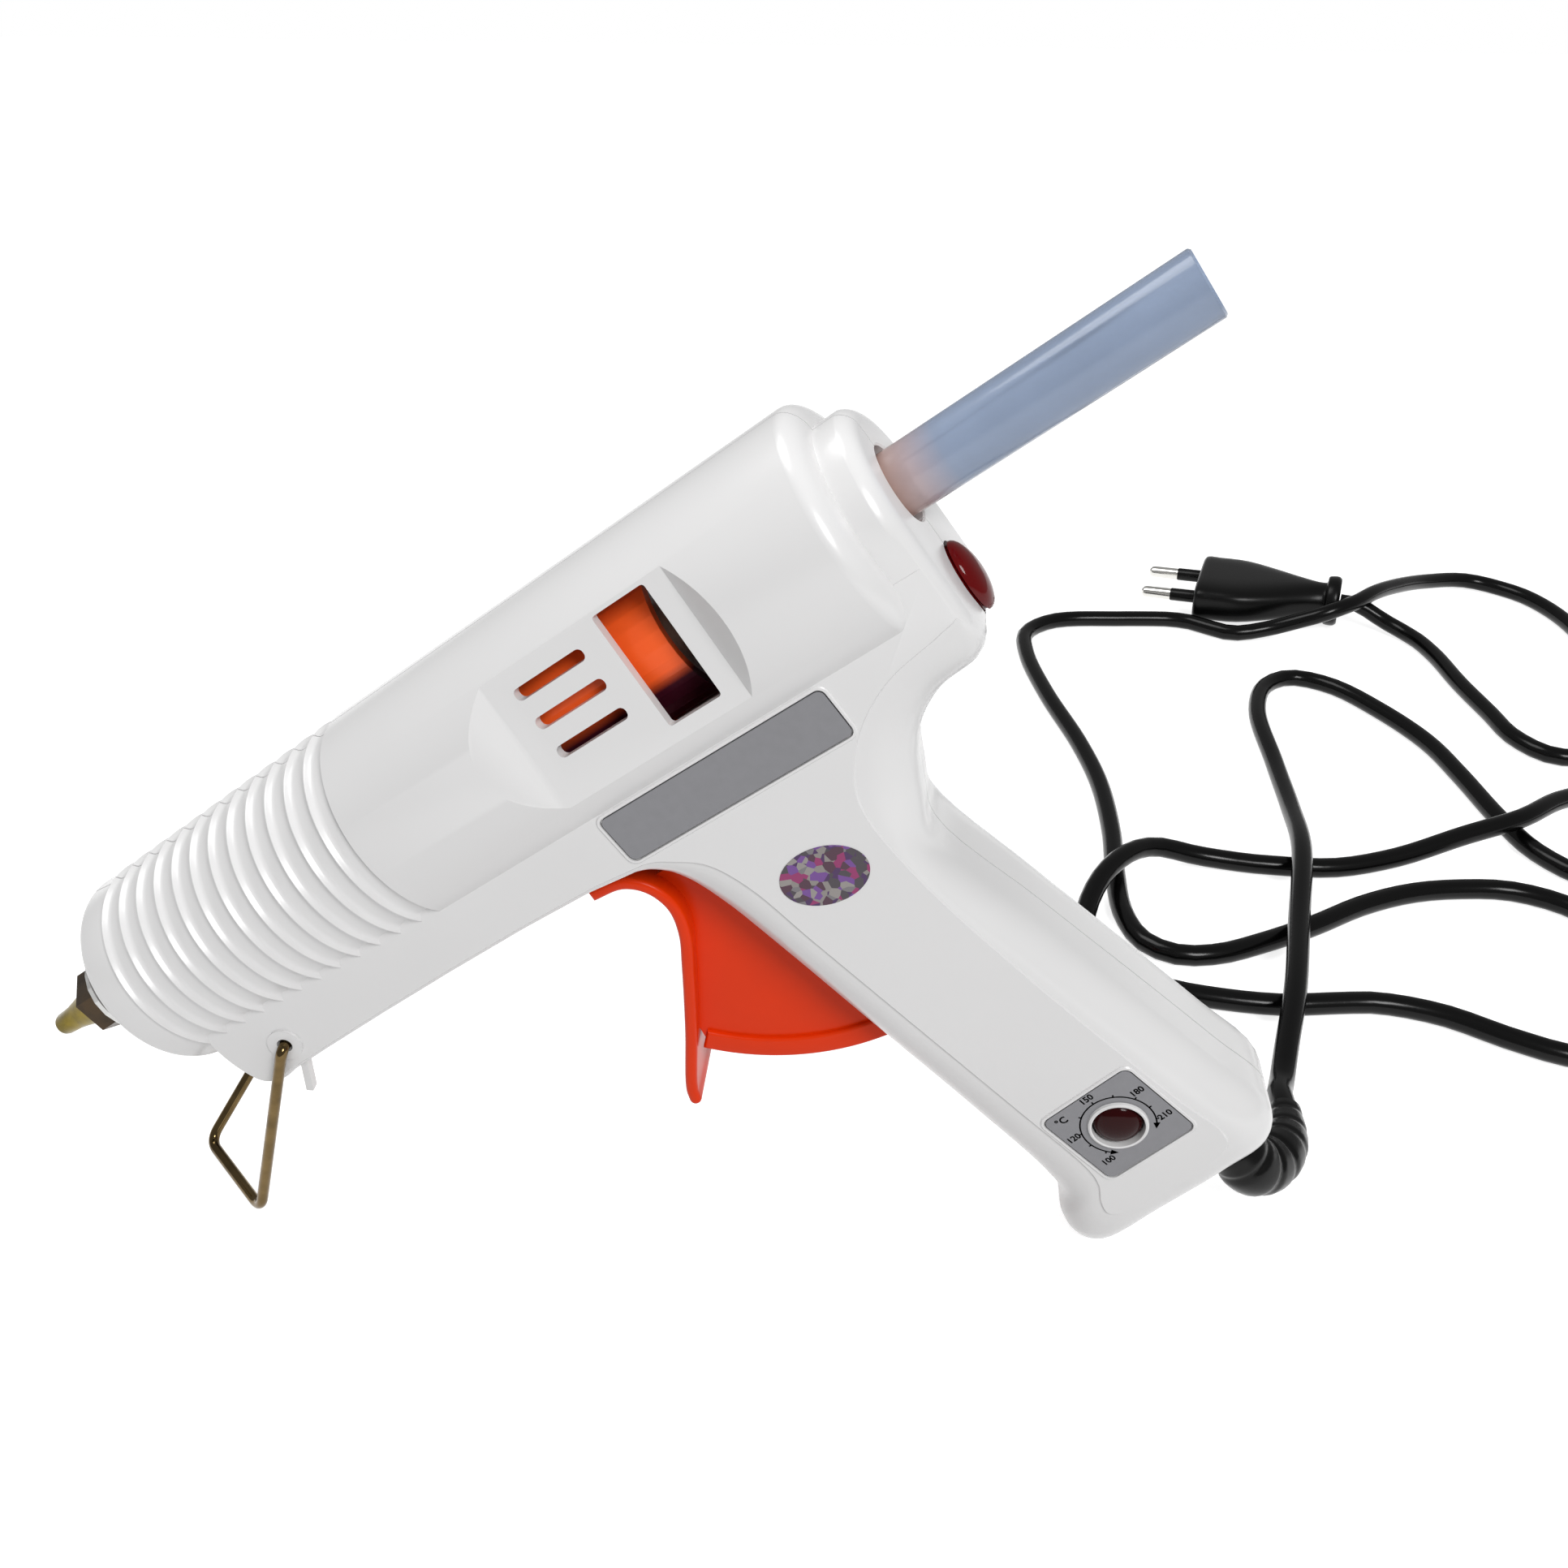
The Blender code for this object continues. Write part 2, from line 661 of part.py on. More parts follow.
def pad_cuts(side):
    """the pad's own cut, its window and its slots"""
    tools = [pad_shape("pad", side, PAD_DEPTH, PAD_FRONT, PAD_REAR)]
    window_mid = PAD_REAR - WINDOW_REAR - WINDOW_LENGTH / 2
    window = rounded_box(WINDOW_LENGTH, WINDOW_HEIGHT, SLOT_WIDTH / 4, 2)
    tools.append(pad_hole("window", side, placed(window, (window_mid, SLOT_RISE / 2))))
    for k in range(SLOT_COUNT):
        slot = rounded_box(SLOT_LENGTH, SLOT_WIDTH, SLOT_WIDTH / 2 * SLOT_ROUND_SHARE, 3)
        rise = SLOT_RISE + SLOT_PITCH * (SLOT_COUNT // 2 - k)
        tools.append(pad_hole("slot", side, placed(slot, (PAD_FRONT + SLOT_FRONT + SLOT_LENGTH / 2, rise))))
    return tools


# Screws: one in the keel, two in the barrel's top and three in the handle, as places along and up
KEEL_SCREW_SHARES = (0.175, 0.745)
BARREL_SCREW_SHARES = ((0.415, 0.62), (0.895, 0.55))
HANDLE_SCREW_SHARES = ((0.45, 0.005), (0.30, 0.285), (-0.03, 0.575))
SCREW_PLACES = [(RIM + KEEL_SCREW_SHARES[0] * BARREL_LENGTH, -KEEL_SCREW_SHARES[1] * KEEL_DROP)]
SCREW_PLACES += [(RIM + back * BARREL_LENGTH, up * BARREL_RADIUS) for back, up in BARREL_SCREW_SHARES]
SCREW_PLACES += [on_handle(*shares) for shares in HANDLE_SCREW_SHARES]
STAND_PLACE = (RIM + STAND_SHARE * EAR_LENGTH, -STAND_DROP)
DIAL_PLACE = on_handle(DIAL_ACROSS_SHARE, DIAL_DOWN_SHARE)
LABEL_PLACE = (RIM + LABEL_FRONT_SHARE * BARREL_LENGTH + LABEL_LENGTH / 2, -LABEL_DROP)
BOOT_PLACE = on_handle(*BOOT_PLACE_SHARES)
BOOT_DIRECTION = Vector(BOOT_WAY_SHARES).normalized()


def saddle(front, hole):
    """a round rib inside the barrel that carries what passes through its hole"""
    rear = front + SADDLE_THICK
    wall = BARREL_RADIUS - WALL / 2
    return cut("saddle", turned("saddle", [(front, 0), (front, wall), (rear, wall), (rear, 0)],
                                ROUND_SIDES, BARREL_DROP),
               turned("saddle_hole", [(front - OVERRUN, 0), (front - OVERRUN, hole),
                                      (rear + OVERRUN, hole), (rear + OVERRUN, 0)], WIDE_SIDES))


def trigger_slot():
    """the gap in the keel and the handle's front that the trigger swings through"""
    half = TRIGGER_RIM_WIDTH / 2 + TRIGGER_SLOT_PLAY
    reach = TRIGGER_RIM_RADIUS + OVERRUN / 2
    front = RIM + TRIGGER_SLOT_FRONT_SHARE * BARREL_LENGTH
    points = [(front, -KEEL_DROP + 2 * WALL), (PIVOT.x, -KEEL_DROP + 2 * WALL)]
    steps = 4
    for i in range(steps + 1):
        angle = TRIGGER_SLOT_TO + (TRIGGER_RIM_FROM - TRIGGER_SLOT_TO) * i / steps
        points.append((PIVOT.x + reach * math.cos(angle), PIVOT.y + reach * math.sin(angle)))
    points.append((front, -KEEL_DROP - OVERRUN))
    return slab("trigger_slot", points, -half, half)


def rails():
    """two ribs under the barrel's top that the carriage slides along"""
    low = math.sqrt((CARRIAGE_RADIUS + GAP) ** 2 - (RAIL_OFFSET - RAIL_WIDTH / 2) ** 2)
    front = CARRIAGE_FRONT - RAIL_LEAD_SHARE * CARRIAGE_LENGTH
    rear = CARRIAGE_REAR + RAIL_TAIL_SHARE * CARRIAGE_LENGTH
    made = []
    for side in (-1, 1):
        near, far = sorted((side * (RAIL_OFFSET - RAIL_WIDTH / 2), side * (RAIL_OFFSET + RAIL_WIDTH / 2)))
        made.append(block("rail", (front, near, low), (rear, far, BARREL_RADIUS)))
    return made


def posts():
    """what stands on the shells' inner walls for the screws, the trigger's pin and the stand"""
    made = [cross_rod("post", place, BOSS_RADIUS, -BARREL_RADIUS, BARREL_RADIUS, POST_SIDES)
            for place in SCREW_PLACES]
    for side in (-1, 1):
        near, far = sorted((side * (HUB_WIDTH / 2 + GAP), side * BARREL_RADIUS))
        made.append(cross_rod("pivot_post", PIVOT, HUB_RADIUS, near, far))
    made.append(cross_rod("stand_post", STAND_PLACE, STAND_POST_SHARE * WIRE_RADIUS, -BARREL_RADIUS,
                          BARREL_RADIUS, POST_SIDES))
    return made


def housing():
    """the two shells in one piece, before they are parted"""
    outer = joined("outer", body_solid("body", 0, 3, 2),
                   turned("barrel", barrel_profile(), ROUND_SIDES, BARREL_DROP))
    cavity = joined("cavity", body_solid("hollow", WALL, 2, 1),
                    turned("bore", bore_profile(), ROUND_SIDES, BARREL_DROP))
    kept = [pad_shape("backing", side, PAD_DEPTH - PAD_WALL, PAD_FRONT - PAD_WALL, PAD_REAR + PAD_WALL)
            for side in (-1, 1)]
    kept += [saddle(front, CHAMBER_RADIUS + GAP) for front in (FRONT_SADDLE, REAR_SADDLE)]
    return cut("shell", outer, cut("cavity", cavity, *kept, *rails(), *posts()))


def shared_cuts():
    """what is cut from both shells"""
    tools = [turned("inlet", [(REAR - 2 * WALL, 0), (REAR - 2 * WALL, BORE_RADIUS + 2 * STICK_PLAY),
                              (REAR + OVERRUN, BORE_RADIUS + 2 * STICK_PLAY), (REAR + OVERRUN, 0)],
                    WIDE_SIDES)]
    tools.append(turned("mouth", [(RIM - OVERRUN, 0), (RIM - OVERRUN, GUARD_RADIUS + GAP),
                                  (RIM + 2 * WALL, GUARD_RADIUS + GAP), (RIM + 2 * WALL, 0)], WIDE_SIDES))
    tools.append(trigger_slot())
    reach = PIN_LENGTH / 2 + GAP
    tools.append(cross_rod("pivot_hole", PIVOT, PIN_RADIUS + GAP, -reach, reach))
    tools.append(loft("lens_hole", [lens_ring(along, LENS_WIDTH / 2 + GAP, LENS_HEIGHT / 2 + GAP)
                                    for along in (REAR - OVERRUN, REAR + OVERRUN)]))
    for side in (-1, 1):
        tools += pad_cuts(side)
        low, high = sorted((side * (HALF_WIDTH - STAND_PIN - 2 * GAP), side * (HALF_WIDTH + OVERRUN)))
        tools.append(cross_rod("stand_hole", STAND_PLACE, WIRE_RADIUS + GAP, low, high))
    way = [(BOOT_PLACE[0] + BOOT_DIRECTION.x * k, 0, BOOT_PLACE[1] + BOOT_DIRECTION.z * k)
           for k in (-OVERRUN, 2 * OVERRUN)]
    tools.append(rod_mesh("cord_hole", way, BOOT_NECK + GAP, SMALL_SIDES))
    return tools


def rod_mesh(name, ends, radius, sides):
    """a round rod between two points in the gun's plane of symmetry"""
    start = Vector(ends[0])
    along = (Vector(ends[1]) - start).normalized()
    across = Vector((0, 1, 0))
    other = along.cross(across)
    rings = []
    for end in ends:
        ring = []
        for i in range(sides):
            angle = math.tau * i / sides
            ring.append(Vector(end) + radius * (math.cos(angle) * across + math.sin(angle) * other))
        rings.append(ring)
    return loft(name, rings)


def lens_ring(along, half_width, half_height):
    """an oval section of the lens, or of its hole, in the rear face"""
    ring = []
    for i in range(DISC_SIDES):
        angle = math.tau * i / DISC_SIDES
        ring.append((along, half_width * math.cos(angle), -LENS_DROP + half_height * math.sin(angle)))
    return ring


def make_shells():
    """the near and far shell, parted at the seam"""
    shell = cut("shell", housing(), *shared_cuts())
    big = 2 * (REAR + HANDLE_LENGTH)
    for name, side in (("left_shell", -1), ("right_shell", 1)):
        tools = []
        for place in SCREW_PLACES:
            if side > 0:
                surface = HALF_WIDTH
                if place[1] > 0:
                    surface = math.sqrt(BARREL_RADIUS ** 2 - (place[1] + BARREL_DROP) ** 2)
                tools.append(cross_rod("screw_way", place, SCREW_RADIUS + GAP, -OVERRUN, surface))
                tools.append(cross_rod("screw_seat", place, SCREW_HEAD_RADIUS + GAP, surface - SCREW_SINK,
                                       surface + OVERRUN))
            else:
                tools.append(cross_rod("screw_bite", place, SCREW_RADIUS + GAP, -SCREW_BITE - GAP, OVERRUN))
        if side < 0:
            label = placed(rounded_box(LABEL_LENGTH + 2 * GAP, LABEL_HEIGHT + 2 * GAP, LABEL_ROUND),
                           LABEL_PLACE)
            tools.append(slab("label_seat", label, -HALF_WIDTH - OVERRUN, -HALF_WIDTH + PLATE_SINK))
            dial = placed(rounded_box(DIAL_LENGTH + 2 * GAP, DIAL_HEIGHT + 2 * GAP, DIAL_ROUND),
                          DIAL_PLACE, DIAL_TURN)
            tools.append(slab("dial_seat", dial, -HALF_WIDTH - OVERRUN, -HALF_WIDTH + PLATE_SINK))
            tools.append(cross_rod("dial_hole", DIAL_PLACE, KNOB_HOLE, -HALF_WIDTH - OVERRUN,
                                   -HALF_WIDTH + WALL + OVERRUN / 2, DISC_SIDES))
        low, high = sorted((-side * big, side * GAP / 2))
        tools.append(block("other_side", (-big, low, -big), (big, high, big)))
        half = cut(name, shell.copy(), *tools)
        stop = slab("stop", stop_outline(), side * (STOP_OFFSET - STOP_DEPTH / 2),
                    side * (STOP_OFFSET + STOP_DEPTH / 2))
        half = joined(name, half, stop)
        add(name, half, WHITE)


def stop_outline():
    """the peg under the keel that the folded stand rests on"""
    top = (STAND_PLACE[0] - WIRE_RADIUS, -KEEL_DROP + WALL / 2)
    down = Vector((-math.sin(TILT), -math.cos(TILT)))
    across = Vector((down.y, -down.x)) * STOP_WIDTH / 2
    start = Vector(top)
    end = start + down * (STOP_LENGTH + WALL / 2)
    return [start + across, end + across, end - across, start - across]


def make_hot_end():
    """nozzle, guard, melt chamber, heater and the silicone sleeve behind them"""
    hex_front = CONE_LENGTH
    hex_rear = CONE_LENGTH + HEX_LENGTH
    back, girth = TIP_BACK_SHARES
    add("nozzle", turned("nozzle", [
        (0, TIP_HOLE), (0, TIP_RADIUS * TIP_EDGE_SHARE), (TIP_RADIUS * TIP_ROUND_SHARE, TIP_RADIUS),
        (hex_front * back, TIP_RADIUS * girth), (hex_front, CONE_RADIUS),
        (hex_front, HEX_RADIUS * HEX_EDGE_SHARE), (hex_front + GAP * 2, HEX_RADIUS),
        (hex_rear, HEX_RADIUS), (hex_rear, STUB_RADIUS),
        (hex_rear + STUB_LENGTH, STUB_RADIUS), (hex_rear + STUB_LENGTH, TIP_HOLE)], DISC_SIDES), BRASS)
    stub_rear = hex_rear + STUB_LENGTH + GAP
    add("melt_chamber", turned("melt_chamber", [
        (CHAMBER_FRONT, STUB_RADIUS + GAP), (CHAMBER_FRONT, CHAMBER_RADIUS), (CHAMBER_REAR, CHAMBER_RADIUS),
        (CHAMBER_REAR, NECK_RADIUS), (NECK_REAR, NECK_RADIUS), (NECK_REAR, BORE_RADIUS),
        (stub_rear, BORE_RADIUS), (stub_rear, STUB_RADIUS + GAP)], INNER_SIDES), ALUMINIUM)
    guard_front = RIM - GUARD_REACH
    guard_rear = RIM + WALL + GAP
    hole = CHAMBER_RADIUS + GAP
    add("nozzle_guard", turned("nozzle_guard", [
        (guard_front, hole), (guard_front, GUARD_RADIUS * GUARD_NOSE_SHARE),
        (guard_front + WALL / 2, GUARD_RADIUS), (guard_rear, GUARD_RADIUS), (guard_rear, GUARD_FLANGE),
        (guard_rear + GUARD_THICK, GUARD_FLANGE), (guard_rear + GUARD_THICK, hole)], GUARD_SIDES), BLACK)
    length, width, height = HEATER_SIZE
    middle = (FRONT_SADDLE + REAR_SADDLE + SADDLE_THICK) / 2
    top = -CHAMBER_RADIUS - GAP
    add("heater", block("heater", (middle - length / 2, -width / 2, top - height),
                        (middle + length / 2, width / 2, top)), CERAMIC)
    half = CHAMBER_RADIUS + GAP
    low = top - height - GAP
    front = middle - CLAMP_LENGTH / 2
    rear = middle + CLAMP_LENGTH / 2
    thick = CLAMP_THICK
    outer = block("clamp", (front, -half - thick, low - thick), (rear, half + thick, half + thick))
    inner = block("clamp_room", (front - OVERRUN, -half, low), (rear + OVERRUN, half, half))
    add("heater_clamp", cut("clamp", outer, inner), STEEL)
    sleeve_bore = NECK_RADIUS + GAP
    sleeve_rear = SLEEVE_FRONT + SLEEVE_LENGTH
    add("inlet_sleeve", turned("inlet_sleeve", [
        (SLEEVE_FRONT, sleeve_bore), (SLEEVE_FRONT, sleeve_bore + SLEEVE_WALL),
        (NECK_REAR + GAP + SLEEVE_WALL, sleeve_bore + SLEEVE_WALL), (sleeve_rear, BORE_RADIUS + SLEEVE_WALL),
        (sleeve_rear, BORE_RADIUS), (NECK_REAR + GAP, BORE_RADIUS), (NECK_REAR + GAP, sleeve_bore)],
        INNER_SIDES), SILICONE)
    clip_bore = sleeve_bore + SLEEVE_WALL + GAP
    clip_front = SLEEVE_FRONT + CLIP_THICK
    add("sleeve_clip", turned("sleeve_clip", [
        (clip_front, clip_bore), (clip_front, clip_bore + CLIP_THICK),
        (clip_front + CLIP_LENGTH, clip_bore + CLIP_THICK), (clip_front + CLIP_LENGTH, clip_bore)],
        INNER_SIDES), STEEL)


def make_feed():
    """the carriage that slides forward, its grip plate and the stick"""
    bore = BORE_RADIUS + GAP
    seat = GRIP_RADIUS + GAP
    seat_front = CARRIAGE_REAR - GRIP_THICK - 2 * GAP
    ring = turned("carriage", [
        (CARRIAGE_FRONT, bore), (CARRIAGE_FRONT, CARRIAGE_RADIUS - CARRIAGE_PLAY),
        (CARRIAGE_FRONT + CARRIAGE_PLAY, CARRIAGE_RADIUS), (CARRIAGE_REAR, CARRIAGE_RADIUS),
        (CARRIAGE_REAR, seat), (seat_front, seat), (seat_front, bore)], WIDE_SIDES)
    lug = block("lug", (LUG_REAR - LUG_LENGTH, -LUG_WIDTH / 2, -LUG_DROP),
                (LUG_REAR, LUG_WIDTH / 2, -(bore + CARRIAGE_RADIUS) / 2))
    add("feed_carriage", joined("carriage", ring, lug), ORANGE)
    front = seat_front + GAP
    add("grip_plate", turned("grip_plate", [
        (front, bore), (front, GRIP_RADIUS), (front + GRIP_THICK, GRIP_RADIUS), (front + GRIP_THICK, bore)],
        DISC_SIDES), STEEL)
    rear = REAR + STICK_TAIL
    add("glue_stick", turned("glue_stick", [
        (STICK_FRONT, 0), (STICK_FRONT, STICK_RADIUS * STICK_NOSE_SHARE),
        (STICK_FRONT + STICK_RADIUS, STICK_RADIUS), (rear, STICK_RADIUS), (rear, 0)], DISC_SIDES), GLUE)


def trigger_point(radius, angle):
    return PIVOT.x + radius * math.cos(angle), PIVOT.y + radius * math.sin(angle)


BLADE_SHARES = ((0.63, 0.0), (0.87, 0.018), (0.99, 0.080), (1.03, 0.183), (0.96, 0.296), (0.79, 0.431),
                (0.42, 0.702), (0.07, 0.945), (0.025, 1.0))


def blade_outline():
    """the trigger's finger blade, its front face and its rear face"""
    top = -KEEL_DROP - 2 * WALL + GAP
    back = PIVOT.x - BLADE_BACK_SHARE * BLADE_LEAN
    front = smooth([(back + a * BLADE_LEAN, top - d * BLADE_LENGTH) for a, d in BLADE_SHARES], 2)
    rear = []
    for before, here, after in zip(front[:1] + front[:-1], front, front[1:] + front[-1:]):
        way = (after - before).normalized()
        rear.append(here + Vector((-way.y, way.x)) * BLADE_THICK)
    return front, rear


def make_trigger():
    """blade, web, rim, hub and push arm in one moulding, on its pin, with its spring"""
    front, rear = blade_outline()
    half = BLADE_WIDTH / 2
    end = front[-1] + (rear[-1] - front[-1]) / 2 + (front[-1] - front[-2]).normalized() * BLADE_THICK / 2
    outline = front + [end] + rear[::-1]
    soft = BLADE_THICK / 5
    rings = []
    for y, depth in ((-half, soft), (-half + soft, 0), (half - soft, 0), (half, soft)):
        ring = inset([Vector(p) for p in outline], depth) if depth else outline
        rings.append([(p[0], y, p[1]) for p in ring])
    blade = loft("blade", rings)
    inner = TRIGGER_RIM_RADIUS - TRIGGER_RIM_THICK
    middle = TRIGGER_RIM_RADIUS - TRIGGER_RIM_THICK / 2
    blade_root = [rear[k] - (rear[k] - front[k]) / 3 for k in range(4, 13, 4)]
    web_root = HUB_RADIUS * WEB_ROOT_SHARE
    web = [(PIVOT.x + web_root, PIVOT.y), (PIVOT.x, PIVOT.y + web_root)]
    web += [tuple(point) for point in blade_root]
    sweep = TRIGGER_RIM_TO - TRIGGER_RIM_FROM
    steps = 12
    for i in range(0, steps + 1, 2):
        web.append(trigger_point(middle, TRIGGER_RIM_FROM + sweep * i / steps))
    web_mesh = slab("web", web, -WEB_WIDTH / 2, WEB_WIDTH / 2)
    rim = [trigger_point(TRIGGER_RIM_RADIUS, TRIGGER_RIM_FROM + sweep * i / steps) for i in range(steps + 1)]
    rim += [trigger_point(inner, TRIGGER_RIM_TO - sweep * i / steps) for i in range(steps + 1)]
    rim_mesh = slab("rim", rim, -TRIGGER_RIM_WIDTH / 2, TRIGGER_RIM_WIDTH / 2)
    hub = cross_rod("hub", PIVOT, HUB_RADIUS, -HUB_WIDTH / 2, HUB_WIDTH / 2, DISC_SIDES)
    tip = (PIVOT.x - PUSH_LEAD, PIVOT.y + PUSH_ARM)
    root = HUB_RADIUS * ARM_ROOT_SHARE
    arm = [(PIVOT.x + root, PIVOT.y), (PIVOT.x + HUB_RADIUS * ARM_NECK_SHARE, PIVOT.y + HUB_RADIUS)]
    steps = 8
    for i in range(steps + 1):
        angle = math.pi * i / steps
        arm.append((tip[0] + PUSH_TIP * math.cos(angle), tip[1] + PUSH_TIP * math.sin(angle)))
    arm.append((PIVOT.x - root, PIVOT.y))
    arm_mesh = slab("arm", arm, -LUG_WIDTH / 2 + GAP, LUG_WIDTH / 2 - GAP)
    body = joined("trigger", web_mesh, rim_mesh, hub, arm_mesh, blade)
    body = cut("trigger", body, cross_rod("pin_hole", PIVOT, PIN_RADIUS + GAP, -HUB_WIDTH, HUB_WIDTH))
    add("trigger", body, ORANGE, at=(PIVOT.x, 0, PIVOT.y))
    add("trigger_pin", cross_rod("trigger_pin", PIVOT, PIN_RADIUS, -PIN_LENGTH / 2, PIN_LENGTH / 2), STEEL)


def spring_path():
    """the torsion spring round the hub, from its leg on a screw post to its leg beside the web"""
    post = Vector(SCREW_PLACES[4]) - PIVOT
    still = post.length - BOSS_RADIUS - GAP
    start = math.atan2(post.y, post.x) + math.acos(SPRING_COIL / still)
    end = SPRING_LEG_ANGLE - math.acos(SPRING_COIL / SPRING_LEG)
    sweep = (end - start) % math.tau + SPRING_TURNS * math.tau
    beside = WEB_WIDTH / 2 + GAP + SPRING_WIRE
    count = round(sweep / math.tau * SPRING_TURN_POINTS)
    far = PIVOT + post.normalized() * still
    path = [Vector((far.x, beside + SPRING_PITCH * sweep / math.tau, far.y))]
    for i in range(count + 1):
        angle = start + sweep * i / count
        left = SPRING_PITCH * (sweep - sweep * i / count) / math.tau
        path.append(Vector((PIVOT.x + SPRING_COIL * math.cos(angle), beside + left,
                            PIVOT.y + SPRING_COIL * math.sin(angle))))
    leg_end = trigger_point(SPRING_LEG, SPRING_LEG_ANGLE)
    path.append(Vector((leg_end[0], beside, leg_end[1])))
    return path


def least_gap(path, radius, apart):
    """the least clearance between points of a tube that are more than some points apart"""
    pairs = ((a, b) for i, a in enumerate(path) for b in path[i + apart:])
    return min((a - b).length for a, b in pairs) - 2 * radius


def make_spring():
    path = spring_path()
    tube("return_spring", path, SPRING_WIRE, STEEL, GUN, fineness=1)
    gap = least_gap(path, SPRING_WIRE, SPRING_TURN_POINTS // 2)
    print("return_spring least gap in mm", round(gap * 1000, 2))


def make_screws():
    """six screws driven from the far side"""
    for number, place in enumerate(SCREW_PLACES, 1):
        surface = HALF_WIDTH
        if place[1] > 0:
            surface = math.sqrt(BARREL_RADIUS ** 2 - (place[1] + BARREL_DROP) ** 2)
        seat = surface - SCREW_SINK + GAP
        head = cross_rod("head", place, SCREW_HEAD_RADIUS, seat, seat + SCREW_HEAD_DEPTH)
        shank = cross_rod("shank", place, SCREW_RADIUS, -SCREW_BITE, seat + SCREW_HEAD_DEPTH / 2, POST_SIDES)
        add(f"housing_screw_{number}", joined("screw", head, shank), STEEL)


def make_face_pieces():
    """label plate, dial plate, knob, lens and lamp"""
    plate_in = -HALF_WIDTH + PLATE_SINK - GAP
    label = placed(rounded_box(LABEL_LENGTH, LABEL_HEIGHT, LABEL_ROUND), LABEL_PLACE)
    add("label_plate", slab("label", label, plate_in - PLATE_THICK, plate_in), GREY)
    dial = placed(rounded_box(DIAL_LENGTH, DIAL_HEIGHT, DIAL_ROUND), DIAL_PLACE, DIAL_TURN)
    hole = cross_rod("hole", DIAL_PLACE, KNOB_HOLE, -HALF_WIDTH - OVERRUN, -HALF_WIDTH + OVERRUN, DISC_SIDES)
    add("dial_plate", cut("dial", slab("dial", dial, plate_in - PLATE_THICK, plate_in), hole), GREY)
    face = -HALF_WIDTH + KNOB_SINK
    disc = cross_rod("disc", DIAL_PLACE, KNOB_RADIUS, face, face + KNOB_THICK, DISC_SIDES)
    reach = KNOB_RADIUS * KNOB_SLOT_SHARE
    side = KNOB_SLOT_WIDTH / 2
    slot = placed([(-reach, -side), (reach, -side), (reach, side), (-reach, side)], DIAL_PLACE, DIAL_TURN)
    shaft = cross_rod("shaft", DIAL_PLACE, SHAFT_RADIUS, face + KNOB_THICK / 2,
                      face + KNOB_THICK + SHAFT_LENGTH)
    knob = cut("knob", joined("knob", disc, shaft),
               slab("slot", slot, face - OVERRUN, face + KNOB_SLOT_DEPTH))
    add("dial_knob", knob, RED, at=(DIAL_PLACE[0], face, DIAL_PLACE[1]))
    pot_front = face + KNOB_THICK + GAP
    pot = cross_rod("pot", DIAL_PLACE, POT_RADIUS, pot_front, pot_front + POT_LENGTH, DISC_SIDES)
    socket = cross_rod("socket", DIAL_PLACE, SHAFT_RADIUS + GAP, pot_front - OVERRUN,
                       pot_front + SHAFT_LENGTH + GAP)
    add("potentiometer", cut("pot", pot, socket), BLACK)
    board_in = pot_front + POT_LENGTH + GAP
    length, thick, height = BOARD_SIZE
    board = placed([(-length / 2, -height / 2), (length / 2, -height / 2), (length / 2, height / 2),
                    (-length / 2, height / 2)], DIAL_PLACE, DIAL_TURN)
    add("control_board", slab("board", board, board_in, board_in + thick), BOARD)
    stem = 1 - 2 * GAP / LENS_WIDTH
    sections = [(REAR - LENS_STEM, stem), (REAR, stem)]
    sections += [(REAR + GAP + along * LENS_RISE, share) for along, share in LENS_DOME_SHARES]
    add("indicator_lens", loft("lens", [lens_ring(along, share * LENS_WIDTH / 2, share * LENS_HEIGHT / 2)
                                        for along, share in sections]), RED)
    lamp_rear = REAR - LENS_STEM - GAP
    add("indicator_lamp", turned("lamp", [
        (lamp_rear - LAMP_LENGTH, 0), (lamp_rear - LAMP_LENGTH, LAMP_RADIUS),
        (lamp_rear - LAMP_RADIUS, LAMP_RADIUS), (lamp_rear, LAMP_RADIUS / 2), (lamp_rear, 0)],
        SMALL_SIDES, LENS_DROP), RED)


def stand_path():
    """the bent wire of the stand in world axes from its pivot, before the table takes it"""
    wide = HALF_WIDTH + STAND_SIDE_GAP + WIRE_RADIUS
    inner = HALF_WIDTH - STAND_PIN
    drop = pivot_height() - WIRE_RADIUS
    far_drop = (1 - STAND_FAR_RISE_SHARE) * drop
    corners = [(0, -inner, 0), (0, -wide, 0), (-STAND_LEAD, -wide, -drop), (-STAND_FAR_LEAD, 0, -drop),
               (-STAND_LEAD - WIRE_RADIUS, wide, -far_drop), (0, wide, 0), (0, inner, 0)]
    corners = [Vector(c) for c in corners]
    path = [corners[0]]
    for before, here, after in zip(corners, corners[1:], corners[2:]):
        back = (before - here).normalized()
        on = (after - here).normalized()
        at_pivot = corners[0] in (before, after) or corners[-1] in (before, after)
        bend = STAND_SIDE_GAP + WIRE_RADIUS if at_pivot else STAND_ROUND
        start = here + back * bend
        end = here + on * bend
        for t in (0, 0.25, 0.5, 0.75, 1):
            path.append(start * (1 - t) ** 2 + here * 2 * t * (1 - t) + end * t ** 2)
    path.append(corners[-1])
    return path


def lowest_body_point():
    """how far the heel reaches below the nozzle tip once the gun is tipped"""
    edge = outline_of(EDGE_EAR_SHARES, EDGE_HANDLE_SHARES, EDGE_HUMP_SHARES, 2)
    return min(p.x * math.sin(TILT) + p.y * math.cos(TILT) for p in edge)


def pivot_height():
    return STAND_PLACE[0] * math.sin(TILT) + STAND_PLACE[1] * math.cos(TILT) - lowest_body_point()


TABLE_LIFT = -lowest_body_point()


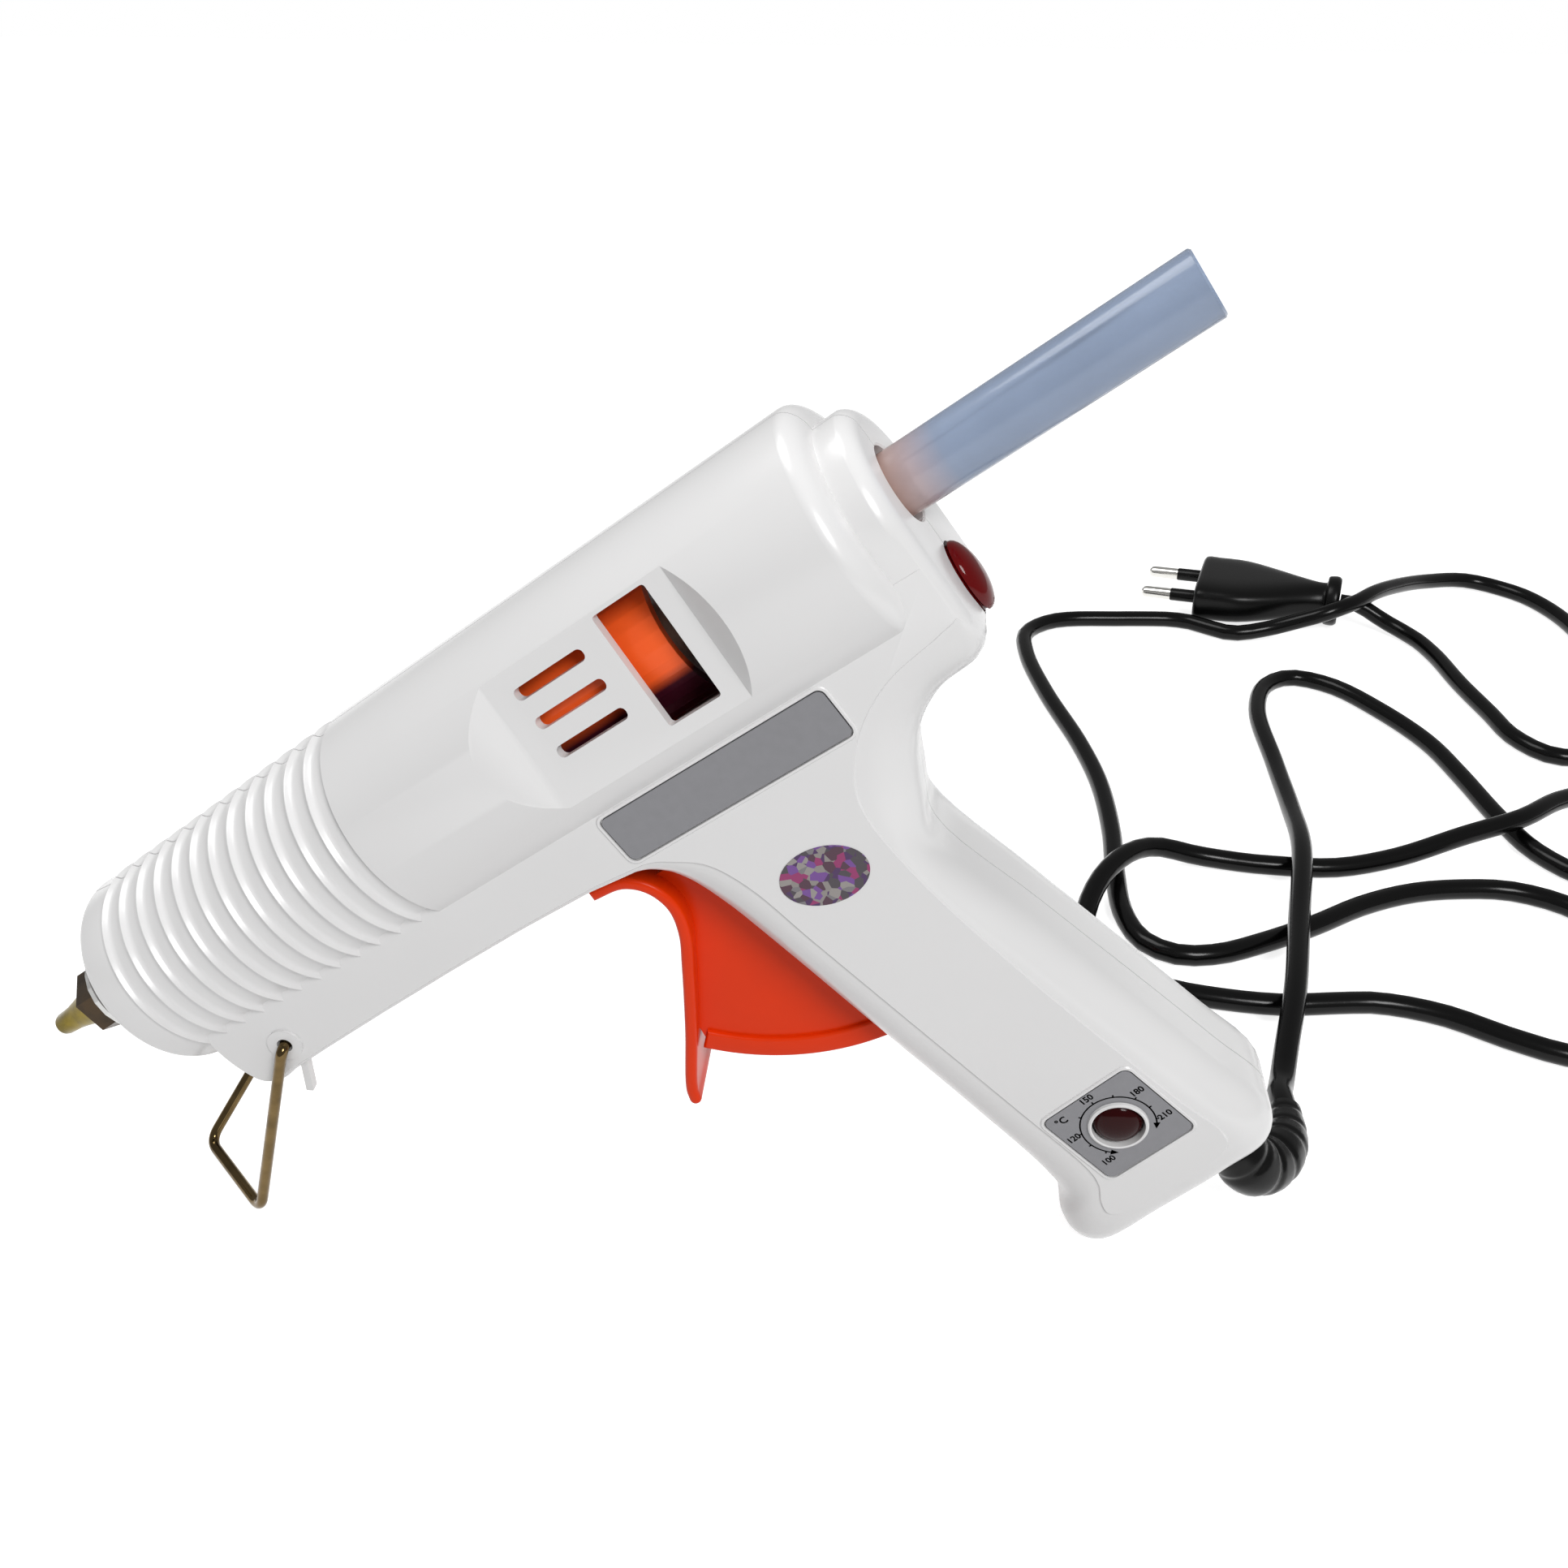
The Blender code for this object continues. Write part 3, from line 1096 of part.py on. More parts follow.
def on_table(along, up):
    """world X and Z of a place in the gun's frame"""
    x = along * math.cos(TILT) - up * math.sin(TILT)
    z = along * math.sin(TILT) + up * math.cos(TILT) + TABLE_LIFT
    return x, z


def make_stand():
    x, z = on_table(*STAND_PLACE)
    stand = tube("wire_stand", stand_path(), WIRE_RADIUS, WIRE, TABLE)
    stand.location = (x, 0, z)


# The cord's route on the table, from the strain relief to the plug. It crosses itself on long low humps.
CORD_ROUTE = (
    (0.2548, 0.0330, 0.0058), (0.2580, 0.0449, 0.0070), (0.2628, 0.0620, 0.0088), (0.2693, 0.0912, 0.0088),
    (0.2762, 0.1241, 0.0088), (0.2788, 0.1500, 0.0048), (0.2797, 0.1750, 0.0028), (0.2801, 0.2105, 0.0027),
    (0.2856, 0.2274, 0.0027), (0.2946, 0.2339, 0.0027), (0.3067, 0.2294, 0.0027), (0.3186, 0.2140, 0.0027),
    (0.3285, 0.1944, 0.0027), (0.3330, 0.1757, 0.0027), (0.3375, 0.1519, 0.0027), (0.3425, 0.1360, 0.0027),
    (0.3520, 0.1250, 0.0027), (0.3650, 0.1215, 0.0027), (0.3780, 0.1290, 0.0027), (0.3835, 0.1430, 0.0027),
    (0.3790, 0.1570, 0.0035), (0.3665, 0.1620, 0.0060), (0.3530, 0.1545, 0.0086), (0.3390, 0.1430, 0.0092),
    (0.3220, 0.1361, 0.0070), (0.3028, 0.1285, 0.0038), (0.2845, 0.1234, 0.0027), (0.2676, 0.1233, 0.0027),
    (0.2506, 0.1247, 0.0036), (0.2372, 0.1225, 0.0074), (0.2278, 0.1140, 0.0094), (0.2200, 0.1020, 0.0078),
    (0.2165, 0.0880, 0.0040), (0.2215, 0.0750, 0.0027), (0.2345, 0.0680, 0.0027), (0.2460, 0.0655, 0.0027),
    (0.2611, 0.0645, 0.0027), (0.2746, 0.0663, 0.0027), (0.2842, 0.0672, 0.0027), (0.2984, 0.0641, 0.0027),
    (0.3122, 0.0567, 0.0027), (0.3245, 0.0520, 0.0027), (0.3370, 0.0530, 0.0027), (0.3480, 0.0620, 0.0027),
    (0.3530, 0.0780, 0.0027), (0.3520, 0.0960, 0.0027), (0.3440, 0.1100, 0.0027), (0.3305, 0.1167, 0.0027),
    (0.3166, 0.1165, 0.0027), (0.3034, 0.1135, 0.0027), (0.2894, 0.1068, 0.0027), (0.2750, 0.0968, 0.0027),
    (0.2615, 0.0888, 0.0027), (0.2486, 0.0827, 0.0027), (0.2385, 0.0818, 0.0027), (0.2311, 0.0865, 0.0027),
    (0.2272, 0.0976, 0.0027), (0.2268, 0.1158, 0.0027), (0.2276, 0.1356, 0.0027), (0.2264, 0.1613, 0.0027),
    (0.2222, 0.1846, 0.0027), (0.2141, 0.2153, 0.0027), (0.2089, 0.2438, 0.0027), (0.2096, 0.2595, 0.0027),
    (0.2200, 0.2702, 0.0027), (0.2430, 0.2738, 0.0027), (0.2516, 0.2746, 0.0027), (0.2600, 0.2750, 0.0027),
    (0.2670, 0.2736, 0.0027), (0.2720, 0.2705, 0.0027), (0.2809, 0.2656, 0.0029), (0.2927, 0.2668, 0.0045),
    (0.3029, 0.2664, 0.0082), (0.3101, 0.2654, 0.0114), (0.3153, 0.2665, 0.0132), (0.3220, 0.2708, 0.0140),
    (0.3291, 0.2785, 0.0140), (0.3393, 0.2904, 0.0116), (0.3563, 0.3077, 0.0066), (0.3747, 0.3166, 0.0036),
    (0.3890, 0.3095, 0.0027), (0.3970, 0.2960, 0.0027), (0.4010, 0.2750, 0.0027), (0.3985, 0.2480, 0.0027),
    (0.3965, 0.2230, 0.0027), (0.3890, 0.2020, 0.0027), (0.3770, 0.1905, 0.0027), (0.3640, 0.1900, 0.0027),
    (0.3560, 0.2000, 0.0027), (0.3530, 0.2150, 0.0027), (0.3492, 0.2344, 0.0027), (0.3462, 0.2560, 0.0027),
    (0.3420, 0.2690, 0.0028), (0.3350, 0.2765, 0.0044),
)
PLUG_FRONT = (0.2728, 0.2944)
PLUG_HEADING = math.radians(164.7)
PLUG_TILT = math.asin((PLUG_COLLAR_RADIUS - PLUG_HEIGHT / 2) / (PLUG_LENGTH - PLUG_COLLAR_LENGTH))


def boot_path():
    """the strain relief's middle line and girths: its neck in the handle, then down and round to the cord"""
    x, z = on_table(*BOOT_PLACE)
    hole = Vector((x, 0, z))
    out = Matrix.Rotation(-TILT, 3, "Y") @ BOOT_DIRECTION
    path = [hole - out * BOOT_SEAT, hole + out * GAP, hole + out * 2 * GAP]
    girths = [BOOT_NECK / BOOT_RADIUS, BOOT_NECK / BOOT_RADIUS, BOOT_SHARES[0][3]]
    bulb = [(x + reach * BOOT_REACH, swing * BOOT_SWING, z - drop * BOOT_DROP)
            for reach, swing, drop, _ in BOOT_SHARES]
    steps = 2
    for i, point in enumerate(smooth(bulb, steps)):
        before = BOOT_SHARES[i // steps][3]
        after = BOOT_SHARES[min(i // steps + 1, len(BOOT_SHARES) - 1)][3]
        path.append(point)
        girths.append(before + (after - before) * (i % steps) / steps)
    return path, girths


def evenly(path, count):
    """points at even steps along a curve"""
    lengths = [0.0]
    for a, b in zip(path, path[1:]):
        lengths.append(lengths[-1] + (b - a).length)
    points = []
    k = 0
    for i in range(count):
        target = lengths[-1] * i / (count - 1)
        while k < len(path) - 2 and lengths[k + 1] < target:
            k += 1
        share = (target - lengths[k]) / (lengths[k + 1] - lengths[k])
        points.append(path[k].lerp(path[k + 1], min(1.0, share)))
    return points


def cord_path():
    """the whole cord, from the strain relief's end to the plug's rear face"""
    boot = boot_path()[0]
    way = (boot[-1] - boot[-2]).normalized()
    start = boot[-1] + way * GAP
    back = PLUG.matrix_basis.to_3x3() @ Vector((-1, 0, 0))
    end = PLUG.location + back * (PLUG_LENGTH + GAP)
    route = [start, start + way * 2 * CORD_RADIUS]
    route += [Vector(point) for point in CORD_ROUTE]
    route += [end + back * 2 * CORD_RADIUS, end]
    steps = 8
    curve = smooth(route, steps)
    points = [start] + evenly(curve[steps:-steps], CORD_POINTS - 2) + [end]
    for point in points:
        point.z = max(point.z, CORD_RADIUS + GAP / 3)
    return points


# One quarter of the plug's section, from its side to its top, as shares of half its width and height
PLUG_SECTION_SHARES = ((1.0, 0.18), (0.93, 0.45), (0.72, 0.88), (0.56, 1.0))
# Along the plug from its front: length, width, height and how round it is
PLUG_BODY_SHARES = (
    (0.02, 1.0, 1.0, 0.0), (0.33, 1.0, 1.0, 0.05), (0.55, 0.76, 0.97, 0.4), (0.74, 0.50, 0.93, 0.85),
)


def plug_ring(back, half_width, half_height, roundness):
    """one section of the plug"""
    quarter = []
    for i, (across, up) in enumerate(PLUG_SECTION_SHARES):
        angle = math.pi / 2 * (i + 0.5) / len(PLUG_SECTION_SHARES)
        quarter.append((half_width * (across + (math.cos(angle) - across) * roundness),
                        half_height * (up + (math.sin(angle) - up) * roundness)))
    outline = quarter + [(-a, u) for a, u in quarter[::-1]]
    outline += [(-a, -u) for a, u in quarter] + [(a, -u) for a, u in quarter[::-1]]
    return [(-back, a, u) for a, u in outline]


def make_plug():
    """the plug's moulded body with its collar, and its two pins"""
    half_width = PLUG_WIDTH / 2
    half_height = PLUG_HEIGHT / 2
    rings = [plug_ring(0, half_width - PLUG_EDGE, half_height - PLUG_EDGE, 0)]
    for along, width, height, roundness in PLUG_BODY_SHARES:
        rings.append(plug_ring(along * PLUG_LENGTH, width * half_width, height * half_height, roundness))
    collar = PLUG_LENGTH - PLUG_COLLAR_LENGTH
    rings.append(plug_ring(collar - PLUG_EDGE, PLUG_NECK_RADIUS, PLUG_NECK_RADIUS, 1))
    for back, radius in ((collar, PLUG_COLLAR_RADIUS - PLUG_EDGE), (collar + PLUG_EDGE, PLUG_COLLAR_RADIUS),
                         (PLUG_LENGTH - PLUG_EDGE, PLUG_COLLAR_RADIUS),
                         (PLUG_LENGTH, PLUG_COLLAR_RADIUS - PLUG_EDGE)):
        rings.append(plug_ring(back, radius, radius, 1))
    body = loft("plug_body", rings)
    holes = []
    for side in (-1, 1):
        hole = turned("pin_hole", [(-PLUG_PIN_SEAT, 0), (-PLUG_PIN_SEAT, PLUG_PIN_RADIUS + GAP),
                                   (OVERRUN, PLUG_PIN_RADIUS + GAP), (OVERRUN, 0)])
        hole.transform(Matrix.Translation((0, side * PIN_SPACING / 2, 0)))
        holes.append(hole)
    add("plug_body", cut("plug", body, *holes), RUBBER, PLUG)
    for number, side in enumerate((-1, 1), 1):
        tip = PLUG_PIN_LENGTH
        shoulder, nose = PLUG_PIN_NOSE_SHARES
        pin = turned("pin", [(GAP - PLUG_PIN_SEAT, 0), (GAP - PLUG_PIN_SEAT, PLUG_PIN_RADIUS),
                             (tip - PLUG_PIN_RADIUS, PLUG_PIN_RADIUS),
                             (tip - PLUG_PIN_RADIUS / 3, PLUG_PIN_RADIUS * shoulder),
                             (tip, PLUG_PIN_RADIUS * nose), (tip, 0)])
        pin.transform(Matrix.Translation((0, side * PIN_SPACING / 2, 0)))
        add(f"plug_pin_{number}", pin, STEEL, PLUG, (0, side * PIN_SPACING / 2, 0))


def make_cord():
    """the clamp bar in the handle, the strain relief and the cord"""
    x, z = on_handle(*CLAMP_PLACE_SHARES)
    length, deep, high = CLAMP_BLOCK
    far = HALF_WIDTH - WALL - GAP
    add("cord_clamp", block("clamp", (x - length / 2, far - deep, z - high / 2),
                            (x + length / 2, far, z + high / 2)), BLACK)
    path, girths = boot_path()
    tube("strain_relief", path, BOOT_RADIUS, RUBBER, TABLE, girths)
    tube("cord", cord_path(), CORD_RADIUS, RUBBER, TABLE)


def centre_on_table(left_out):
    """move the whole so that the middle of the gun's own length is over the origin"""
    bpy.context.view_layer.update()
    graph = bpy.context.evaluated_depsgraph_get()
    along = []
    for item in bpy.data.objects:
        if item.type == "EMPTY" or item.name in left_out:
            continue
        made = item.evaluated_get(graph).to_mesh()
        along += [(item.matrix_world @ vertex.co).x for vertex in made.vertices]
        item.evaluated_get(graph).to_mesh_clear()
    TABLE.location.x = -(min(along) + max(along)) / 2


GUN.location = (0, 0, TABLE_LIFT)
PLUG = empty("plug_frame", TABLE, (*PLUG_FRONT, PLUG_HEIGHT / 2 + GAP), (0, PLUG_TILT, PLUG_HEADING))
make_shells()
make_hot_end()
make_feed()
make_trigger()
make_spring()
make_screws()
make_face_pieces()
make_stand()
make_plug()
make_cord()
centre_on_table(("strain_relief", "cord", "plug_body", "plug_pin_1", "plug_pin_2"))
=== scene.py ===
"""A hot glue gun standing nose down on its wire stand, with its glue stick, cord and two pin plug.

Each section makes one piece as it is made or fitted on the real gun, in metres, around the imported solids.
"""

import math

import bmesh
import bpy
from mathutils import Matrix, Vector


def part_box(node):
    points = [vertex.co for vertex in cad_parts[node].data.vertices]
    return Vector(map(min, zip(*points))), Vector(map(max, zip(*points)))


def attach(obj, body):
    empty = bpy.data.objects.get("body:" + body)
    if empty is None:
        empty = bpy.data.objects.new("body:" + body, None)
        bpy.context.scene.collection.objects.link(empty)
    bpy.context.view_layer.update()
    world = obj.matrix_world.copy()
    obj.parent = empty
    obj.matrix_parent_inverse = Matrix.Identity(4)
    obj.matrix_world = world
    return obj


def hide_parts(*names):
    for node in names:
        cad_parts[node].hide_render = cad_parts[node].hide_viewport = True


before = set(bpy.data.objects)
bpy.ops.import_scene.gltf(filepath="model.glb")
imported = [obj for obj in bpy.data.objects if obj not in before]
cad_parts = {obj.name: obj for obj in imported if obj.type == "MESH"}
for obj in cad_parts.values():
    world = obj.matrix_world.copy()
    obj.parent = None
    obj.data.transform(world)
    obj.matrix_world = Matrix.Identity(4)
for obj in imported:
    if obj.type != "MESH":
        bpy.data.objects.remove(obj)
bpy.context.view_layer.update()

# The camera stands in front of the gun's dial side, a little to the right and well above the table,
# and looks at the middle of the barrel.
CAMERA_PLACE = Vector((0.048216, -0.22557, 0.23905))
CAMERA_SWING = math.radians(5.104)
CAMERA_RISE = math.radians(31.895)
CAMERA_ROLL = math.radians(0.066)
CAMERA_LENS = 35.083
CAMERA_SENSOR = 36


def placed(name, data):
    """a mesh, curve, camera or lamp as an object in the scene"""
    item = bpy.data.objects.new(name, data)
    bpy.context.scene.collection.objects.link(item)
    return item


def set_by_axes(first, second, third, place):
    """the turn and place that three axes and an origin give"""
    return Matrix((
        (first.x, second.x, third.x, place.x),
        (first.y, second.y, third.y, place.y),
        (first.z, second.z, third.z, place.z),
        (0, 0, 0, 1),
    ))


back = Vector((
    math.sin(CAMERA_SWING) * math.cos(CAMERA_RISE),
    -math.cos(CAMERA_SWING) * math.cos(CAMERA_RISE),
    math.sin(CAMERA_RISE),
))
level = Vector((0, 0, 1)).cross(back).normalized()
upright = back.cross(level)
across = level * math.cos(CAMERA_ROLL) + upright * math.sin(CAMERA_ROLL)
upright = back.cross(across)
camera = placed("camera", bpy.data.cameras.new("camera"))
camera.data.sensor_width = CAMERA_SENSOR
camera.data.lens = CAMERA_LENS
camera.data.clip_start = 0.01
camera.matrix_world = set_by_axes(across, upright, back, CAMERA_PLACE)
bpy.context.scene.camera = camera

# The cord is a round black flex. It leaves the strain relief under the handle, lies in loose loops
# on the table and crosses itself on low humps on its way to the plug.
SHIFT = Vector((-0.120044, 0, 0))
CORD_RADIUS = 0.0027
CORD_LIFT = 0.0001
CORD_STEPS = 8
CORD_POINTS = 360
PLUG_HEADING = math.radians(-15.3)
RUBBER_BLACK = (0.002, 0.002, 0.002)
CORD_START = Vector((0.13303, 0.02229, 0.00855))
CORD_OUT = Vector((-0.0003, 1.0, -0.06)).normalized()
CORD_END = Vector((0.19969, 0.28156, 0.00911))
CORD_ROUTE = (
    (0.2548, 0.0330, 0.0058), (0.2580, 0.0449, 0.0070), (0.2628, 0.0620, 0.0088), (0.2693, 0.0912, 0.0088),
    (0.2762, 0.1241, 0.0088), (0.2788, 0.1500, 0.0048), (0.2797, 0.1750, 0.0028), (0.2801, 0.2105, 0.0027),
    (0.2856, 0.2274, 0.0027), (0.2946, 0.2339, 0.0027), (0.3067, 0.2294, 0.0027), (0.3186, 0.2140, 0.0027),
    (0.3285, 0.1944, 0.0027), (0.3330, 0.1757, 0.0027), (0.3375, 0.1519, 0.0027), (0.3425, 0.1360, 0.0027),
    (0.3520, 0.1250, 0.0027), (0.3650, 0.1215, 0.0027), (0.3780, 0.1290, 0.0027), (0.3835, 0.1430, 0.0027),
    (0.3790, 0.1570, 0.0035), (0.3665, 0.1620, 0.0060), (0.3530, 0.1545, 0.0086), (0.3390, 0.1430, 0.0092),
    (0.3220, 0.1361, 0.0070), (0.3028, 0.1285, 0.0038), (0.2845, 0.1234, 0.0027), (0.2676, 0.1233, 0.0027),
    (0.2506, 0.1247, 0.0036), (0.2372, 0.1225, 0.0074), (0.2278, 0.1140, 0.0094), (0.2200, 0.1020, 0.0078),
    (0.2165, 0.0880, 0.0040), (0.2215, 0.0750, 0.0027), (0.2345, 0.0680, 0.0027), (0.2460, 0.0655, 0.0027),
    (0.2611, 0.0645, 0.0027), (0.2746, 0.0663, 0.0027), (0.2842, 0.0672, 0.0027), (0.2984, 0.0641, 0.0027),
    (0.3122, 0.0567, 0.0027), (0.3245, 0.0520, 0.0027), (0.3370, 0.0530, 0.0027), (0.3480, 0.0620, 0.0027),
    (0.3530, 0.0780, 0.0027), (0.3520, 0.0960, 0.0027), (0.3440, 0.1100, 0.0027), (0.3305, 0.1167, 0.0027),
    (0.3166, 0.1165, 0.0027), (0.3034, 0.1135, 0.0027), (0.2894, 0.1068, 0.0027), (0.2750, 0.0968, 0.0027),
    (0.2615, 0.0888, 0.0027), (0.2486, 0.0827, 0.0027), (0.2385, 0.0818, 0.0027), (0.2311, 0.0865, 0.0027),
    (0.2272, 0.0976, 0.0027), (0.2268, 0.1158, 0.0027), (0.2276, 0.1356, 0.0027), (0.2264, 0.1613, 0.0027),
    (0.2222, 0.1846, 0.0027), (0.2141, 0.2153, 0.0027), (0.2089, 0.2438, 0.0027), (0.2096, 0.2595, 0.0027),
    (0.2200, 0.2702, 0.0027), (0.2430, 0.2738, 0.0027), (0.2516, 0.2746, 0.0027), (0.2600, 0.2750, 0.0027),
    (0.2670, 0.2736, 0.0027), (0.2720, 0.2705, 0.0027), (0.2809, 0.2656, 0.0029), (0.2927, 0.2668, 0.0045),
    (0.3029, 0.2664, 0.0082), (0.3101, 0.2654, 0.0114), (0.3153, 0.2665, 0.0132), (0.3220, 0.2708, 0.0140),
    (0.3291, 0.2785, 0.0140), (0.3393, 0.2904, 0.0116), (0.3563, 0.3077, 0.0066), (0.3747, 0.3166, 0.0036),
    (0.3890, 0.3095, 0.0027), (0.3970, 0.2960, 0.0027), (0.4010, 0.2750, 0.0027), (0.3985, 0.2480, 0.0027),
    (0.3965, 0.2230, 0.0027), (0.3890, 0.2020, 0.0027), (0.3770, 0.1905, 0.0027), (0.3640, 0.1900, 0.0027),
    (0.3560, 0.2000, 0.0027), (0.3530, 0.2150, 0.0027), (0.3492, 0.2344, 0.0027), (0.3462, 0.2560, 0.0027),
    (0.3420, 0.2690, 0.0028), (0.3350, 0.2765, 0.0044),
)


def moulded(name, colour, roughness, mottle=0.04, mottle_size=0.012,
            grain=0.00002, grain_size=0.0006, **extra):
    """a moulded or cast material: one colour, a little uneven, with a fine grain on its skin"""
    material = bpy.data.materials.new(name)
    material.use_nodes = True
    nodes = material.node_tree.nodes
    links = material.node_tree.links
    shader = nodes["Principled BSDF"]
    place = nodes.new("ShaderNodeTexCoord")
    cloud = nodes.new("ShaderNodeTexNoise")
    cloud.inputs["Scale"].default_value = 1 / mottle_size
    cloud.inputs["Detail"].default_value = 4
    links.new(place.outputs["Object"], cloud.inputs["Vector"])
    tint = nodes.new("ShaderNodeValToRGB")
    tint.color_ramp.elements[0].position = 0.3
    tint.color_ramp.elements[1].position = 0.7
    tint.color_ramp.elements[0].color = (*[c * (1 - mottle) for c in colour], 1)
    tint.color_ramp.elements[1].color = (*[min(1, c * (1 + mottle)) for c in colour], 1)
    links.new(cloud.outputs["Fac"], tint.inputs["Fac"])
    links.new(tint.outputs["Color"], shader.inputs["Base Color"])
    wear = nodes.new("ShaderNodeMapRange")
    wear.inputs["To Min"].default_value = roughness * (1 - 2 * mottle)
    wear.inputs["To Max"].default_value = roughness * (1 + 2 * mottle)
    links.new(cloud.outputs["Fac"], wear.inputs["Value"])
    links.new(wear.outputs["Result"], shader.inputs["Roughness"])
    skin = nodes.new("ShaderNodeTexNoise")
    skin.inputs["Scale"].default_value = 1 / grain_size
    skin.inputs["Detail"].default_value = 2
    links.new(place.outputs["Object"], skin.inputs["Vector"])
    bump = nodes.new("ShaderNodeBump")
    bump.inputs["Strength"].default_value = 0.5
    bump.inputs["Distance"].default_value = grain
    links.new(skin.outputs["Fac"], bump.inputs["Height"])
    links.new(bump.outputs["Normal"], shader.inputs["Normal"])
    for socket, value in extra.items():
        shader.inputs[socket.replace("_", " ")].default_value = value
    return material


def smooth_line(points, steps):
    """a curve through open points, steps to a span, that stays close to them where they are uneven"""
    path = [Vector(p) for p in points]
    path = [2 * path[0] - path[1]] + path + [2 * path[-1] - path[-2]]
    curve = []
    for a, b, c, d in zip(path, path[1:], path[2:], path[3:]):
        first = math.sqrt((b - a).length)
        second = first + math.sqrt((c - b).length)
        last = second + math.sqrt((d - c).length)
        for i in range(steps):
            t = first + (second - first) * i / steps
            ab = a.lerp(b, t / first)
            bc = b.lerp(c, (t - first) / (second - first))
            cd = c.lerp(d, (t - second) / (last - second))
            abc = ab.lerp(bc, t / second)
            bcd = bc.lerp(cd, (t - first) / (last - first))
            curve.append(abc.lerp(bcd, (t - first) / (second - first)))
    curve.append(path[-2])
    return curve


def even_steps(path, count):
    """points at even steps along a line"""
    lengths = [0.0]
    for a, b in zip(path, path[1:]):
        lengths.append(lengths[-1] + (b - a).length)
    points = []
    k = 0
    for i in range(count):
        target = lengths[-1] * i / (count - 1)
        while k < len(path) - 2 and lengths[k + 1] < target:
            k += 1
        share = (target - lengths[k]) / (lengths[k + 1] - lengths[k])
        points.append(path[k].lerp(path[k + 1], min(1.0, share)))
    return points


def round_rod(name, points, radius, material, shares=None, fineness=8):
    """a bent wire, rod or flex along a line of points"""
    curve = bpy.data.curves.new(name, "CURVE")
    curve.dimensions = "3D"
    curve.bevel_depth = radius
    curve.bevel_resolution = fineness
    curve.use_fill_caps = True
    line = curve.splines.new("POLY")
    line.points.add(len(points) - 1)
    for i, point in enumerate(points):
        line.points[i].co = (*point, 1)
        line.points[i].radius = shares[i] if shares else 1
    line.use_smooth = True
    curve.materials.append(material)
    return placed(name, curve)


flex_black = moulded("flex_black", RUBBER_BLACK, 0.2, mottle_size=0.03, grain_size=0.0012,
                     Specular_IOR_Level=0.2)
plug_back = Vector((math.cos(PLUG_HEADING), math.sin(PLUG_HEADING), 0))
cord_route = [CORD_START, CORD_START + CORD_OUT * 2 * CORD_RADIUS]
cord_route += [Vector(p) + SHIFT for p in CORD_ROUTE]
cord_route += [CORD_END + plug_back * 2 * CORD_RADIUS, CORD_END]
between = smooth_line(cord_route, CORD_STEPS)[CORD_STEPS:-CORD_STEPS]
cord_line = [CORD_START] + even_steps(between, CORD_POINTS) + [CORD_END]
for point in cord_line:
    point.z = max(point.z, CORD_RADIUS + CORD_LIFT)
cord = round_rod("flex", cord_line, CORD_RADIUS, flex_black)
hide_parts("cord")
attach(cord, "housing")

# The strain relief is a fat curled boot of soft black rubber with rings around it. Its neck sits in the hole
# in the handle's foot, and the flex comes out of its thin end.
BOOT_RADIUS = 0.0060
BOOT_HOLE = Vector((0.113883, 0, 0.022688))
BOOT_OUT = Vector((0.729061, 0, -0.684453))
BOOT_CLEARANCE = 0.0003
BOOT_BULB = (
    (0.215, 0.0, 0.33), (0.398, 0.02, 0.62), (0.607, 0.16, 0.79), (0.806, 0.39, 0.86),
    (0.921, 0.64, 0.93), (1.0, 1.0, 1.0),
)
BOOT_REACH = 0.0191
BOOT_SWING = 0.0220
BOOT_DROP = 0.0141
BOOT_NECK = 0.0045
BOOT_GIRTHS = (0.62, 0.86, 1.0, 1.02, 0.98, 0.93, 0.85, 0.74, 0.64, 0.56)
NECK_GIRTH = 0.58
BOOT_POINTS = 100
BOOT_RINGS = 7
GROOVE_DEPTH = 0.07
GROOVE_SPREAD = 0.018
boot_route = [BOOT_HOLE + BOOT_OUT * BOOT_CLEARANCE]
for reach, swing, drop in BOOT_BULB:
    boot_route.append(BOOT_HOLE + Vector((reach * BOOT_REACH, swing * BOOT_SWING, -drop * BOOT_DROP)))
boot_line = even_steps(smooth_line(boot_route, 8), BOOT_POINTS)
boot_girths = []
for i in range(BOOT_POINTS):
    share = i / (BOOT_POINTS - 1)
    k = min(int(share * (len(BOOT_GIRTHS) - 1)), len(BOOT_GIRTHS) - 2)
    part = share * (len(BOOT_GIRTHS) - 1) - k
    girth = BOOT_GIRTHS[k] * (1 - part) + BOOT_GIRTHS[k + 1] * part
    from_ring = (share * BOOT_RINGS) % 1 - 0.5
    boot_girths.append(girth * (1.02 - GROOVE_DEPTH * math.exp(-from_ring ** 2 / GROOVE_SPREAD)))
boot_rubber = moulded("boot_rubber", RUBBER_BLACK, 0.24, grain_size=0.0009, Specular_IOR_Level=0.2)
boot = round_rod("curled_boot", [BOOT_HOLE - BOOT_OUT * BOOT_NECK] + boot_line, BOOT_RADIUS, boot_rubber,
                 [NECK_GIRTH] + boot_girths, 12)
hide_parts("strain_relief")
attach(boot, "housing")

